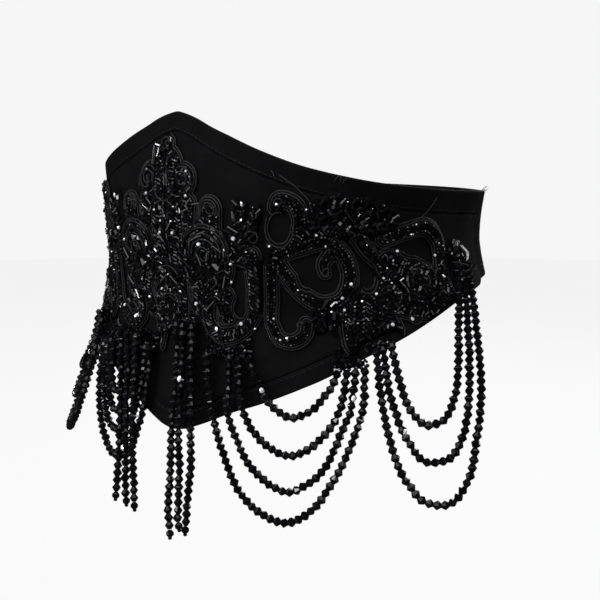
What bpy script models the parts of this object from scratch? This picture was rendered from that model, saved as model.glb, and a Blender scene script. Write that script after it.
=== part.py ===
"""Beaded corset belt with lace applique, beaded swags and hanging strands.

The belt is worn on a waist. The origin is the middle of the waist at its narrowest level.
Front faces -Y, the wearer's left is +X and up is +Z. Angles are measured from centre front
towards the wearer's left. Sizes in the tables are in millimetres and degrees.
"""
import math

import bmesh
import bpy
import numpy as np

MM = 0.001

# Driving sizes
WALL = 2.4
SEAM_GAP = 0.3
LAY_GAP = 0.35
FRONT_END = 105.0
BACK_START = 92.0
UNDERLAP_DROP = 4.7
TOP_BAND_DEPTH = 12.4
TOP_BAND_DEPTH_CENTER = 10.2
HEM_BAND_DEPTH = 10.0
END_CORNER = 7.0
END_FLARE = 2.2
APPLIQUE_CELL = 3.8
APPLIQUE_BASE = 1.0
APPLIQUE_SHIFT = 8.0
STRAND_HALF = 1.3
STRAND_OFF = 4.8
DANGLE_OFF = 8.4
STRAND_STEP = 6.5
HOOK_LEVELS = (("upper", 15.0), ("middle", 2.0), ("lower", -11.0))

# Body section under the belt: level, half width, front depth, back depth
LEVEL = (-190, -150, -104, -60, -25, 0, 30, 71, 100)
HALF_WIDTH = (164, 161, 152, 137, 120, 110.5, 114.5, 122, 126.5)
FRONT_DEPTH = (104, 99.5, 92.5, 85.5, 86, 88, 88.5, 85.5, 84)
BACK_DEPTH = (111, 107, 102, 97.5, 91, 87.5, 86.8, 85.5, 84.5)
POWER_LEVEL = (-190, -104, -40, 10, 100)
POWER = (2.10, 2.10, 2.0, 2.29, 2.29)

# Edge heights: angle from centre front, height
TOP_EDGE = ((0, 69), (5, 67.5), (10, 65.2), (16, 61.4), (24, 56.7), (35, 49.6), (50, 40.9),
            (70, 33.3), (95, 28.5), (130, 25.5), (180, 25))
LOW_EDGE = ((0, -98.3), (5, -97.2), (10, -94.6), (16, -90.8), (24, -85), (35, -78), (50, -65.6),
            (66, -48.3), (90, -26.5), (105, -21), (120, -18.5), (135, -17), (180, -16.5))

# Applique on the wearer's left: kind, piece, half width at start and end, ridge, points (s, z)
STROKES = (
    ("apex", "center", 5.4, 6.0, 1.4, ((-4, 51.5), (-4, 42))),
    ("trunk", "center", 13.0, 15.0, 0.9, ((-4, 40), (-4, 10), (-4, -32))),
    ("upper lobe", "center", 9.5, 8.0, 1.8, ((9, 34.5), (4, 22))),
    ("shoulder lobe", "center", 8.0, 8.5, 1.7, ((27, 19.5), (26, 4))),
    ("rosette", "center", 17.5, 17.0, 2.0, ((23, -3), (25, -9))),
    ("leaf one", "center", 4.6, 6.5, 1.6, ((45, 22), (42, 3))),
    ("leaf two", "center", 4.2, 6.5, 1.6, ((54, 20), (46, 4))),
    ("fan", "center", 9.0, 8.0, 1.5, ((0, -36), (4, -42))),
    ("drop", "center", 3.4, 2.6, 2.0, ((-11, -44), (-13.5, -56))),
    ("bowl", "center", 6.0, 5.4, 1.9, ((51, -3), (53, -20), (51, -33), (43, -42), (32, -45),
                                       (24, -39), (24, -28))),
    ("bowl middle", "center", 8.0, 7.0, 1.2, ((34, -26), (36, -34))),
    ("upper scroll", "side", 4.8, 5.4, 1.9, ((64.5, 22), (66, 25.5), (73, 24), (77, 15), (74, 5),
                                              (66, 0), (61, 0))),
    ("scroll return", "side", 4.4, 5.0, 1.7, ((60.5, 14), (60.5, 4), (61.5, -12))),
    ("vine", "side", 5.0, 5.0, 1.8, ((62, -3), (76, 2), (90, 5), (98, -2), (101, -13), (97, -23),
                                     (88, -26), (78, -21), (70, -12), (64, -4))),
    ("vine curl", "side", 3.6, 4.4, 1.8, ((89, -10.5), (88, -7), (92, 0))),
    ("hook scroll", "side", 4.6, 4.4, 1.9, ((62, -8), (62, -24), (62.5, -38), (67, -44.5),
                                            (74, -45), (79, -41), (80, -36))),
    ("hook leaf", "side", 4.2, 4.0, 1.5, ((86, -37), (86, -27))),
    ("hook leaf two", "side", 4.0, 4.0, 1.5, ((95, -38), (94, -26))),
    ("spray stem", "side", 5.0, 6.0, 1.3, ((78, 11), (98, 11), (121, 13))),
    ("spray leaf one", "side", 4.4, 5.0, 1.8, ((85, 24), (84, 12))),
    ("spray leaf two", "side", 4.4, 5.0, 1.9, ((92.5, 27), (92, 12))),
    ("spray leaf three", "side", 4.2, 5.0, 1.8, ((100, 25), (99, 12))),
    ("spray leaf four", "side", 4.6, 5.0, 1.9, ((107.5, 25), (106, 12))),
    ("spray leaf five", "side", 4.4, 5.0, 1.8, ((115.5, 21.5), (113, 12))),
    ("spray leaf six", "side", 4.2, 5.0, 1.7, ((122, 18), (118, 10))),
    ("spray fall", "side", 4.4, 4.4, 1.4, ((104, 8), (109, 1), (116, -6))),
    ("arch", "side", 4.8, 5.6, 1.9, ((118, 6), (130, 9.5), (143, 11), (151, 4), (152, -8),
                                      (149, -18))),
    ("arch foot", "side", 5.2, 4.2, 2.0, ((151, -18), (152.5, -30))),
    ("cluster", "side", 9.0, 10.5, 1.8, ((121, -7), (135, -13), (143, -19))),
    ("cluster low", "side", 9.5, 8.0, 1.9, ((117, -21), (130, -26), (141, -28))),
    ("hem lobe", "side", 8.5, 9.0, 1.9, ((105, -25), (104, -38), (105, -44))),
    ("hem lobe two", "side", 8.0, 7.0, 1.8, ((114, -30), (118, -38))),
)
# Open places in the lace: piece, centre s and z, radii
WINDOWS = (
    ("center", 40.5, -15.0, 3.6, 5.2),
    ("center", 43.5, -30.5, 3.4, 4.4),
    ("side", 66.0, 11.5, 5.4, 7.2),
    ("side", 83.0, -10.0, 6.4, 7.2),
    ("side", 71.0, -31.0, 5.2, 7.0),
    ("side", 109.5, -12.5, 3.2, 5.2),
    ("side", 136.0, 1.0, 7.0, 3.6),
)
APPLIQUE_CUT = 57.2
# Places kept free of lace for the strand roots: side, two points (s, z), half width
ROOT_CLEARANCE = (
    ("left", 90.5, -57.6, 110.5, -51.3, 3.6),
    ("left", 107.5, -48.5, 119.5, -43, 4.0),
    ("left", 158.5, -7, 171, -7, 3.6),
    ("right", 81.0, -46.5, 96.0, -46.5, 3.6),
    ("right", 158.5, -7, 171, -7, 3.6),
)

# Strands: name, points (angle, height) from the inner root to the outer root
LEFT_FRONT = (
    ("first", ((30.5, -54), (33.1, -63), (35.5, -70), (38.9, -77.5), (43.8, -81.5), (47.5, -79),
               (52.4, -69), (55.4, -57.5))),
    ("second", ((27.6, -54), (28.2, -66), (29.3, -78), (32.3, -88), (38.2, -97), (43, -100),
                (47, -97), (50.8, -90), (54.3, -80), (56.2, -69), (57.3, -57))),
    ("third", ((24.2, -54), (24.6, -68), (24.9, -84), (28.7, -96), (32.7, -107), (38.4, -115),
               (43, -117.5), (47.2, -113), (51.3, -104), (54.3, -91), (57, -78), (59.2, -56.5))),
    ("fourth", ((15.4, -54), (17.2, -74), (20.5, -90), (25.9, -109), (30.5, -122), (36.8, -130),
                (42.6, -132.5), (46.8, -128), (51.9, -114), (57.2, -91), (59.8, -76),
                (61.1, -55.5))),
)
LEFT_SIDE = (
    ("first", ((67.2, -44), (67.9, -62), (69.1, -75), (71.7, -82.5), (74.6, -81), (78, -71),
               (80.7, -56), (83.5, -39), (87.2, -23), (90.4, -7.5))),
    ("second", ((65.3, -45.5), (65.9, -73), (67.7, -89), (70.6, -99.5), (74.3, -99), (78.1, -89),
                (80.8, -74), (83.5, -56), (86.3, -39), (89.6, -23), (92.6, -7.5))),
    ("third", ((63.9, -46.8), (63.9, -74), (64.6, -91), (66.6, -108), (69.9, -118.5), (73.3, -120),
               (77.3, -111), (80.9, -91), (83.6, -75), (86.4, -56), (89, -39), (92, -24),
               (94.8, -7.5))),
)
RIGHT_FRONT = (
    ("first", ((-20.6, -56), (-22, -72), (-25.5, -83), (-30.5, -84.5), (-34, -75), (-36, -58))),
    ("second", ((-17.9, -56), (-19, -78), (-22.6, -92), (-28, -95.5), (-33, -86.5),
                (-36.6, -74), (-38.6, -58))),
    ("third", ((-15.2, -56), (-15.8, -84), (-18.6, -99), (-22.9, -104.5), (-28.2, -104),
               (-33.2, -96), (-37.2, -84), (-39.8, -72), (-41.2, -58))),
    ("fourth", ((-12.5, -56), (-12.6, -90), (-14.8, -108), (-19, -117.5), (-25, -118),
                (-31, -110.5), (-36.8, -97.5), (-41, -83), (-43.2, -70), (-43.8, -58))),
)
RIGHT_SIDE = (
    ("first", ((-55, -46), (-55.6, -62), (-58.5, -76), (-63.5, -84), (-69.5, -81.5),
               (-75, -70), (-80, -54), (-84.4, -38), (-88, -23), (-90.4, -7.5))),
    ("second", ((-52.6, -46), (-52.8, -68), (-54.8, -87), (-59.6, -99.5), (-66, -102),
                (-72.4, -91), (-78.4, -72.5), (-83.4, -54), (-87.2, -38), (-90.4, -23),
                (-92.6, -7.5))),
    ("third", ((-50.2, -46), (-50.2, -72), (-51.4, -94), (-55.6, -113), (-62.6, -122),
               (-69.8, -115), (-76.2, -95), (-82, -72), (-86.8, -52), (-90.4, -36),
               (-93, -22), (-94.8, -7.5))),
)
RIGHT_DANGLES = (
    ("outer", ((-28.2, -50), (-23.6, -78), (-19.6, -103), (-18, -118), (-17, -136))),
    ("middle", ((-23.2, -50), (-19.6, -78), (-16.2, -103), (-13.4, -125), (-12, -137))),
    ("inner", ((-17.6, -50), (-15.2, -86), (-11.2, -116), (-9, -129), (-8, -138))),
)
LEFT_DANGLES = (
    ("inner", ((3, -40), (3.4, -60), (4.2, -97), (5.8, -121), (6.2, -139), (7.4, -147))),
    ("middle", ((6.2, -40), (6.2, -71), (7.2, -97), (8.9, -112), (9.8, -131), (10.4, -142))),
    ("outer", ((10.2, -40), (10.2, -57), (11.4, -85), (13.6, -116), (13.4, -130),
               (13.2, -143))),
)

# Colours: name, red, green, blue, roughness, metallic
COLORS = {
    "satin": (0.012, 0.012, 0.014, 0.62, 0.0),
    "band_satin": (0.016, 0.016, 0.019, 0.55, 0.0),
    "lace": (0.02, 0.02, 0.024, 0.35, 0.0),
    "beads": (0.015, 0.015, 0.02, 0.18, 0.0),
    "stone": (0.72, 0.74, 0.78, 0.12, 0.1),
    "metal": (0.45, 0.45, 0.47, 0.3, 1.0),
}


def smooth_table(knots, values, x):
    """Monotone cubic through (knots, values), held level outside them."""
    k = np.asarray(knots, float)
    v = np.asarray(values, float)
    step = np.diff(k)
    rise = np.diff(v) / step
    slope = np.zeros_like(v)
    for i in range(1, len(k) - 1):
        if rise[i - 1] * rise[i] > 0:
            w1 = 2 * step[i] + step[i - 1]
            w2 = step[i] + 2 * step[i - 1]
            slope[i] = (w1 + w2) / (w1 / rise[i - 1] + w2 / rise[i])
    slope[0] = end_slope(step[0], step[1], rise[0], rise[1])
    slope[-1] = end_slope(step[-1], step[-2], rise[-1], rise[-2])
    x = np.clip(np.asarray(x, float), k[0], k[-1])
    i = np.clip(np.searchsorted(k, x, side="right") - 1, 0, len(k) - 2)
    t = (x - k[i]) / step[i]
    h00 = (1 + 2 * t) * (1 - t) ** 2
    h10 = t * (1 - t) ** 2
    h01 = t * t * (3 - 2 * t)
    h11 = t * t * (t - 1)
    return h00 * v[i] + h10 * step[i] * slope[i] + h01 * v[i + 1] + h11 * step[i] * slope[i + 1]


def spline_table(knots, values, x):
    """Natural cubic spline through (knots, values), held level outside them."""
    k = np.asarray(knots, float)
    v = np.asarray(values, float)
    h = np.diff(k)
    n = len(k)
    m = np.eye(n)
    b = np.zeros(n)
    for i in range(1, n - 1):
        m[i, i - 1:i + 2] = (h[i - 1], 2 * (h[i - 1] + h[i]), h[i])
        b[i] = 6 * ((v[i + 1] - v[i]) / h[i] - (v[i] - v[i - 1]) / h[i - 1])
    bend = np.linalg.solve(m, b)
    x = np.clip(np.asarray(x, float), k[0], k[-1])
    i = np.clip(np.searchsorted(k, x, side="right") - 1, 0, n - 2)
    u = (k[i + 1] - x) / h[i]
    t = 1 - u
    part = (u ** 3 - u) * bend[i] + (t ** 3 - t) * bend[i + 1]
    return u * v[i] + t * v[i + 1] + part * h[i] ** 2 / 6


def end_slope(h0, h1, d0, d1):
    """One-sided slope at the end of a table, kept from overshooting."""
    s = ((2 * h0 + h1) * d0 - h0 * d1) / (h0 + h1)
    if s * d0 <= 0:
        return 0.0
    if d0 * d1 <= 0 and abs(s) > abs(3 * d0):
        return 3 * d0
    return s


def body(angle, z, off=0.0):
    """Point of the outer face of the cloth: an oval section with the tabled half sizes."""
    t = np.radians(np.asarray(angle, float))
    z = np.asarray(z, float) + 0 * t
    off = np.asarray(off, float) + 0 * t
    width = spline_table(LEVEL, HALF_WIDTH, z) + off
    front = spline_table(LEVEL, FRONT_DEPTH, z) + off
    back = spline_table(LEVEL, BACK_DEPTH, z) + off
    power = smooth_table(POWER_LEVEL, POWER, z)
    depth = np.where(np.cos(t) > 0, front, back)
    r = (np.abs(np.sin(t) / width) ** power + np.abs(np.cos(t) / depth) ** power) ** (-1 / power)
    return np.stack([r * np.sin(t), -r * np.cos(t), z], -1)


def arc_table():
    """Angle against arc length from centre front, measured at the waist level."""
    angle = np.arange(-180, 180.25, 0.5)
    p = body(angle, np.zeros_like(angle))
    s = np.concatenate([[0], np.cumsum(np.linalg.norm(np.diff(p, axis=0), axis=1))])
    s = s - np.interp(0, angle, s)
    return s, angle


ARC_S, ARC_ANGLE = arc_table()


def angle_at(s):
    """Angle whose arc length at the waist is s."""
    return np.interp(s, ARC_S, ARC_ANGLE)


def arc_at(angle):
    """Arc length at the waist up to the angle."""
    return np.interp(angle, ARC_ANGLE, ARC_S)


def edge(table, angle):
    """Height of an edge at the angle, the same on both sides of centre front."""
    a = np.abs(np.asarray(angle, float))
    return smooth_table([p[0] for p in table], [p[1] for p in table], a)


def top_edge(angle):
    """Upper edge of the belt."""
    return edge(TOP_EDGE, angle)


def low_edge(angle):
    """Lower edge of the belt with the rounded corner at its free end."""
    base = edge(LOW_EDGE, angle)
    d = np.clip(END_CORNER - (arc_at(FRONT_END) - arc_at(angle)), 0, END_CORNER)
    corner = END_CORNER - np.sqrt(END_CORNER ** 2 - (0.985 * d) ** 2)
    return base + np.where(np.asarray(angle) > 90, corner, 0)


def top_seam(angle):
    """Seam between the top band and the panel."""
    a = np.abs(np.asarray(angle, float))
    blend = np.clip(a / 24, 0, 1)
    depth = TOP_BAND_DEPTH_CENTER + (TOP_BAND_DEPTH - TOP_BAND_DEPTH_CENTER) * blend
    return top_edge(angle) - depth


def low_seam(angle):
    """Seam between the panel and the hem band."""
    return edge(LOW_EDGE, angle) + HEM_BAND_DEPTH


def smooth_step(x):
    """Zero below 0, one above 1, with level ends."""
    x = np.clip(x, 0, 1)
    return x * x * (3 - 2 * x)


def front_off(angle, z):
    """How far the front stands outside the section near its free end."""
    lift = smooth_step((np.asarray(angle) - 90) / 15)
    return lift * (0.5 + END_FLARE * np.clip((z + 4) / 30, 0, 1) ** 2)


def back_off(angle, z):
    """How far the back band drops inwards under the free end of the front."""
    return -UNDERLAP_DROP * (1 - smooth_step((np.asarray(angle) - 105.6) / 9.0)) + 0 * z


def new_object(name, verts, faces, color):
    """Make one named object from millimetre points and outward faces."""
    mesh = bpy.data.meshes.new(name)
    points = [tuple(float(c) * MM for c in v) for v in verts]
    mesh.from_pydata(points, [], [tuple(int(i) for i in f) for f in faces])
    mesh.validate()
    bm = bmesh.new()
    bm.from_mesh(mesh)
    bmesh.ops.recalc_face_normals(bm, faces=bm.faces)
    bm.to_mesh(mesh)
    bm.free()
    mesh.update()
    obj = bpy.data.objects.new(name, mesh)
    bpy.context.scene.collection.objects.link(obj)
    obj.data.materials.append(material(color))
    return obj


def material(color):
    """A new Principled material with the tabled colour."""
    red, green, blue, rough, metal = COLORS[color]
    mat = bpy.data.materials.new(color)
    mat.use_nodes = True
    shader = mat.node_tree.nodes["Principled BSDF"]
    shader.inputs["Base Color"].default_value = (red, green, blue, 1)
    shader.inputs["Roughness"].default_value = rough
    shader.inputs["Metallic"].default_value = metal
    mat.diffuse_color = (red, green, blue, 1)
    return mat


def grid_shell(outer, inner):
    """Closed skin between two equal grids of points, as vertices and faces."""
    rows, cols = outer.shape[:2]
    verts = np.concatenate([outer.reshape(-1, 3), inner.reshape(-1, 3)])
    shift = rows * cols
    faces = []
    for r in range(rows - 1):
        for c in range(cols - 1):
            a = r * cols + c
            quad = (a, a + 1, a + cols + 1, a + cols)
            faces.append(quad)
            faces.append(tuple(shift + i for i in reversed(quad)))
    rim = [c for c in range(cols)]
    rim += [r * cols + cols - 1 for r in range(1, rows)]
    rim += [(rows - 1) * cols + c for c in range(cols - 2, -1, -1)]
    rim += [r * cols for r in range(rows - 2, 0, -1)]
    for i, a in enumerate(rim):
        b = rim[(i + 1) % len(rim)]
        faces.append((b, a, shift + a, shift + b))
    return verts, faces


def wall(name, angles, low, high, rows, off, color):
    """Cloth wall between two edge heights, lofted through rings of the section."""
    v = np.linspace(0, 1, rows + 1)[:, None]
    z = low[None, :] + (high - low)[None, :] * v
    a = np.broadcast_to(angles[None, :], z.shape)
    o = off(a, z)
    outer = body(a, z, o)
    inner = body(a, z, o - WALL)
    verts, faces = grid_shell(outer, inner)
    return new_object(name, verts, faces, color)


def columns(start, stop, count, extra=()):
    """Even angles from start to stop with some more placed between them."""
    a = np.concatenate([np.linspace(start, stop, count + 1), np.asarray(extra, float)])
    return np.unique(np.round(a, 4))


def build_walls():
    """Front panel, its two bands and the back band."""
    corner = (101.6, 102.4, 103.2, 103.9, 104.4, 104.8)
    a = columns(-FRONT_END, 101.0, 46, corner + (FRONT_END,))
    low = np.maximum(low_seam(a), low_edge(a) + 3.0)
    wall("front_panel", a, low + SEAM_GAP / 2, top_seam(a) - SEAM_GAP / 2, 12, front_off, "satin")
    wall("top_band", a, top_seam(a) + SEAM_GAP / 2, top_edge(a), 2, front_off, "band_satin")
    wall("hem_band", a, low_edge(a), low - SEAM_GAP / 2, 2, front_off, "band_satin")
    b = columns(BACK_START, 360 - FRONT_END - 0.2, 38)
    folded = np.where(b > 180, 360 - b, b)
    under = 1 - smooth_step((b - 105.6) / 9.0)
    high = edge(TOP_EDGE, folded) - 1.2 * under
    low = edge(LOW_EDGE, folded) - 1.6 * under * smooth_step((b - 92) / 8)
    wall("back_band", b, low, high, 8, back_off, "satin")


def stroke_distance(s, z, stroke):
    """Distance inside a stroke (positive inside) and its ridge height at the points."""
    _, _, w0, w1, ridge, points = stroke
    pts = np.asarray(points, float)
    seg = np.linalg.norm(np.diff(pts, axis=0), axis=1)
    run = np.concatenate([[0], np.cumsum(seg)]) / seg.sum()
    best = np.full(s.shape, -1e9)
    rise = np.zeros(s.shape)
    for i in range(len(pts) - 1):
        d = pts[i + 1] - pts[i]
        t = np.clip(((s - pts[i, 0]) * d[0] + (z - pts[i, 1]) * d[1]) / (d @ d), 0, 1)
        gap = np.hypot(s - pts[i, 0] - t * d[0], z - pts[i, 1] - t * d[1])
        width = w0 + (w1 - w0) * (run[i] + t * (run[i + 1] - run[i]))
        inside = width - gap
        height = ridge * np.sqrt(np.clip(1 - (gap / width) ** 2, 0, 1))
        best = np.maximum(best, inside)
        rise = np.maximum(rise, height)
    return best, rise


def root_gap(s, z, side):
    """Distance outside the nearest strand root of one side, where s grows to the back."""
    best = np.full(s.shape, 1e9)
    for name, s0, z0, s1, z1, half in ROOT_CLEARANCE:
        if name != side:
            continue
        ds, dz = s1 - s0, z1 - z0
        t = np.clip(((s - s0) * ds + (z - z0) * dz) / (ds * ds + dz * dz), 0, 1)
        best = np.minimum(best, np.hypot(s - s0 - t * ds, z - z0 - t * dz) - half)
    return best


def applique_field(s, z, piece, side):
    """Signed distance and relief of one lace piece."""
    best = np.full(s.shape, -1e9)
    rise = np.zeros(s.shape)
    sides = (s, -APPLIQUE_SHIFT - s) if piece == "center" else (s,)
    for line in STROKES:
        if line[1] != piece:
            continue
        for x in sides:
            inside, height = stroke_distance(x, z, line)
            best = np.maximum(best, inside)
            rise = np.maximum(rise, height)
    for kind, cs, cz, rs, rz in WINDOWS:
        if kind != piece:
            continue
        for x in sides:
            gap = (np.hypot((x - cs) / rs, (z - cz) / rz) - 1) * min(rs, rz)
            best = np.minimum(best, gap)
    real = s if side > 0 else -mirrored_arc(s)
    angle = angle_at(real)
    best = np.minimum(best, z - low_edge(angle) - 1.2)
    best = np.minimum(best, top_seam(angle) - 0.4 - z)
    if piece == "center":
        best = np.minimum(best, np.minimum(APPLIQUE_CUT - 0.3 - s, s + APPLIQUE_SHIFT
                                           + APPLIQUE_CUT - 0.3))
    else:
        best = np.minimum(best, s - APPLIQUE_CUT)
        best = np.minimum(best, root_gap(real, z, "left" if side > 0 else "right"))
    return best, rise


def contour_mesh(field, s0, s1, z0, z1, cell):
    """Triangles that fill the places where the field is above zero."""
    ns = int(math.ceil((s1 - s0) / cell))
    nz = int(math.ceil((z1 - z0) / cell))
    s, z = np.meshgrid(s0 + cell * np.arange(ns + 1), z0 + cell * np.arange(nz + 1))
    f = field(s, z)
    e = 0.05
    gs = (field(s + e, z) - field(s - e, z)) / (2 * e)
    gz = (field(s, z + e) - field(s, z - e)) / (2 * e)
    size = np.maximum(gs ** 2 + gz ** 2, 0.25)
    near = np.abs(f) < 0.32 * cell
    s = np.where(near, s - f * gs / size, s)
    z = np.where(near, z - f * gz / size, z)
    f = np.where(near, 0.0, f)
    cols = ns + 1
    points = [(float(a), float(b)) for a, b in zip(s.ravel(), z.ravel())]
    value = f.ravel()
    cuts = {}

    def cut(a, b):
        key = (min(a, b), max(a, b))
        if key not in cuts:
            t = value[a] / (value[a] - value[b])
            pa, pb = points[a], points[b]
            points.append((pa[0] + t * (pb[0] - pa[0]), pa[1] + t * (pb[1] - pa[1])))
            cuts[key] = len(points) - 1
        return cuts[key]

    tris = []
    for r in range(nz):
        for c in range(ns):
            a = r * cols + c
            b, d, g = a + 1, a + cols, a + cols + 1
            pair = ((a, b, g), (a, g, d)) if (r + c) % 2 == 0 else ((a, b, d), (b, g, d))
            for tri in pair:
                if max(value[i] for i in tri) <= 0:
                    continue
                poly = []
                for i in range(3):
                    p, q = tri[i], tri[(i + 1) % 3]
                    if value[p] >= 0:
                        poly.append(p)
                    if value[p] * value[q] < 0:
                        poly.append(cut(p, q))
                for i in range(1, len(poly) - 1):
                    tris.append((poly[0], poly[i], poly[i + 1]))
    return points, tris


def keep_largest(tris):
    """The largest patch of triangles that are joined by their sides."""
    owner = {}
    for i, tri in enumerate(tris):
        for j in range(3):
            key = tuple(sorted((tri[j], tri[(j + 1) % 3])))
            owner.setdefault(key, []).append(i)
    links = [[] for _ in tris]
    for pair in owner.values():
        if len(pair) == 2:
            links[pair[0]].append(pair[1])
            links[pair[1]].append(pair[0])
    seen = [False] * len(tris)
    best = []
    for i in range(len(tris)):
        if seen[i]:
            continue
        seen[i] = True
        patch = [i]
        for j in patch:
            for k in links[j]:
                if not seen[k]:
                    seen[k] = True
                    patch.append(k)
        if len(patch) > len(best):
            best = patch
    return [tris[i] for i in sorted(best)]


def rim_edges(tris):
    """Directed edges that belong to one triangle only."""
    edges = set()
    for tri in tris:
        for j in range(3):
            edges.add((tri[j], tri[(j + 1) % 3]))
    return [e for e in edges if (e[1], e[0]) not in edges]


def drop_pinches(tris):
    """Take away triangles at points where two parts of the rim touch."""
    while True:
        count = {}
        for a, _ in rim_edges(tris):
            count[a] = count.get(a, 0) + 1
        bad = {a for a, n in count.items() if n > 1}
        if not bad:
            return tris
        tris = keep_largest([t for t in tris if not bad.intersection(t)])


def applique(name, piece, side):
    """Lace plate with a relief: a plain back just off the cloth and a raised front."""
    if piece == "center":
        span = (-66.0, 58.0)
    else:
        span = (56.0, 164.0)

    def field(s, z):
        return applique_field(s, z, piece, side)[0]

    points, tris = contour_mesh(field, span[0], span[1], -62.0, 60.0, APPLIQUE_CELL)
    tris = drop_pinches(keep_largest(tris))
    used = sorted({i for tri in tris for i in tri})
    index = {old: new for new, old in enumerate(used)}
    p = np.array([points[i] for i in used])
    tris = [tuple(index[i] for i in tri) for tri in tris]
    inside, rise = applique_field(p[:, 0], p[:, 1], piece, side)
    rise = rise * smooth_step(inside / 2.5)
    s = p[:, 0] if side > 0 else mirrored_arc(p[:, 0])
    a = angle_at(s)
    back = body(a, p[:, 1], LAY_GAP)
    front = body(a, p[:, 1], LAY_GAP + APPLIQUE_BASE + rise)
    n = len(used)
    verts = np.concatenate([front, back])
    faces = [tri for tri in tris]
    faces += [tuple(n + i for i in reversed(tri)) for tri in tris]
    faces += [(b, a_, n + a_, n + b) for a_, b in sorted(rim_edges(tris))]
    new_object(name, verts, faces, "lace")


def mirrored_arc(s):
    """The same place on the wearer's right, where the centre motif sits off the middle."""
    return -s - APPLIQUE_SHIFT * (1 - smooth_step((s - 56) / 110))


def resample(points, step):
    """Points of a smooth line through the given ones, about one step apart."""
    p = np.asarray(points, float)
    scale = np.array([1.9, 1.0])
    run = np.concatenate([[0], np.cumsum(np.linalg.norm(np.diff(p * scale, axis=0), axis=1))])
    count = max(3, int(round(run[-1] / step)))
    t = np.linspace(0, run[-1], count + 1)
    out = np.stack([catmull(run, p[:, k], t) for k in range(2)], -1)
    return out


def catmull(knots, values, x):
    """Smooth curve through the values with slopes taken from their neighbours."""
    slope = np.gradient(values, knots)
    i = np.clip(np.searchsorted(knots, x, side="right") - 1, 0, len(knots) - 2)
    h = knots[i + 1] - knots[i]
    t = (x - knots[i]) / h
    h00 = (1 + 2 * t) * (1 - t) ** 2
    h10 = t * (1 - t) ** 2
    h01 = t * t * (3 - 2 * t)
    h11 = t * t * (t - 1)
    return (h00 * values[i] + h10 * h * slope[i] + h01 * values[i + 1]
            + h11 * h * slope[i + 1])


def tube(points, off, half, end_bead):
    """Four-sided strand along the points, lying outside the section."""
    line = resample(points, STRAND_STEP)
    p = body(line[:, 0], line[:, 1], off)
    q = body(line[:, 0], line[:, 1], off + 1)
    out = q - p
    along = np.gradient(p, axis=0)
    along /= np.linalg.norm(along, axis=1)[:, None]
    across = np.cross(along, out)
    across /= np.linalg.norm(across, axis=1)[:, None]
    out = np.cross(across, along)
    size = np.full(len(p), half)
    if end_bead:
        tip = p[-1] + along[-1] * 4.5
        p = np.concatenate([p, p[-1:] + along[-1:] * 1.0, tip[None]])
        across = np.concatenate([across, across[-1:], across[-1:]])
        out = np.concatenate([out, out[-1:], out[-1:]])
        size = np.concatenate([size, [half * 1.6, half * 1.6]])
    verts = []
    for sx, so in ((-1, -1), (1, -1), (1, 1), (-1, 1)):
        verts.append(p + size[:, None] * (sx * across + so * out))
    verts = np.stack(verts, 1).reshape(-1, 3)
    n = len(p)
    faces = [(3, 2, 1, 0), tuple((n - 1) * 4 + i for i in range(4))]
    for r in range(n - 1):
        for i in range(4):
            j = (i + 1) % 4
            faces.append((r * 4 + i, r * 4 + j, r * 4 + 4 + j, r * 4 + 4 + i))
    return verts, faces


def strip(path, low, high, width):
    """Narrow root strip along (angle, height) points between two offsets from the cloth."""
    line = resample(path, 4.0)
    half = width / 2
    outer = np.stack([body(line[:, 0], line[:, 1] - half, high),
                      body(line[:, 0], line[:, 1] + half, high)])
    inner = np.stack([body(line[:, 0], line[:, 1] - half, low),
                      body(line[:, 0], line[:, 1] + half, low)])
    return grid_shell(outer, inner)


def merged(parts):
    """Put several sets of vertices and faces into one."""
    verts, faces, base = [], [], 0
    for v, f in parts:
        verts.append(v)
        faces += [tuple(base + i for i in face) for face in f]
        base += len(v)
    return np.concatenate(verts), faces


def fringe(name, strands, roots, off, end_bead):
    """Strands fused into their root strips as one body."""
    tubes = merged([tube(points, off, STRAND_HALF, end_bead) for _, points in strands])
    strips = merged([strip(*root) for root in roots])
    first = new_object(name, tubes[0], tubes[1], "beads")
    second = new_object(name + "_roots", strips[0], strips[1], "beads")
    joint = first.modifiers.new("join", "BOOLEAN")
    joint.operation = "UNION"
    joint.solver = "EXACT"
    joint.object = second
    graph = bpy.context.evaluated_depsgraph_get()
    mesh = bpy.data.meshes.new_from_object(first.evaluated_get(graph))
    mesh.name = name
    first.modifiers.clear()
    first.data = mesh
    bpy.data.objects.remove(second, do_unlink=True)
    tidy(first)


def tidy(obj):
    """Weld points that lie on each other and turn every face outwards."""
    bm = bmesh.new()
    bm.from_mesh(obj.data)
    bmesh.ops.remove_doubles(bm, verts=bm.verts, dist=0.00001)
    bmesh.ops.dissolve_degenerate(bm, edges=bm.edges, dist=0.00001)
    bmesh.ops.triangulate(bm, faces=bm.faces)
    bmesh.ops.recalc_face_normals(bm, faces=bm.faces)
    bm.to_mesh(obj.data)
    bm.free()
    obj.data.update()


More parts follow.
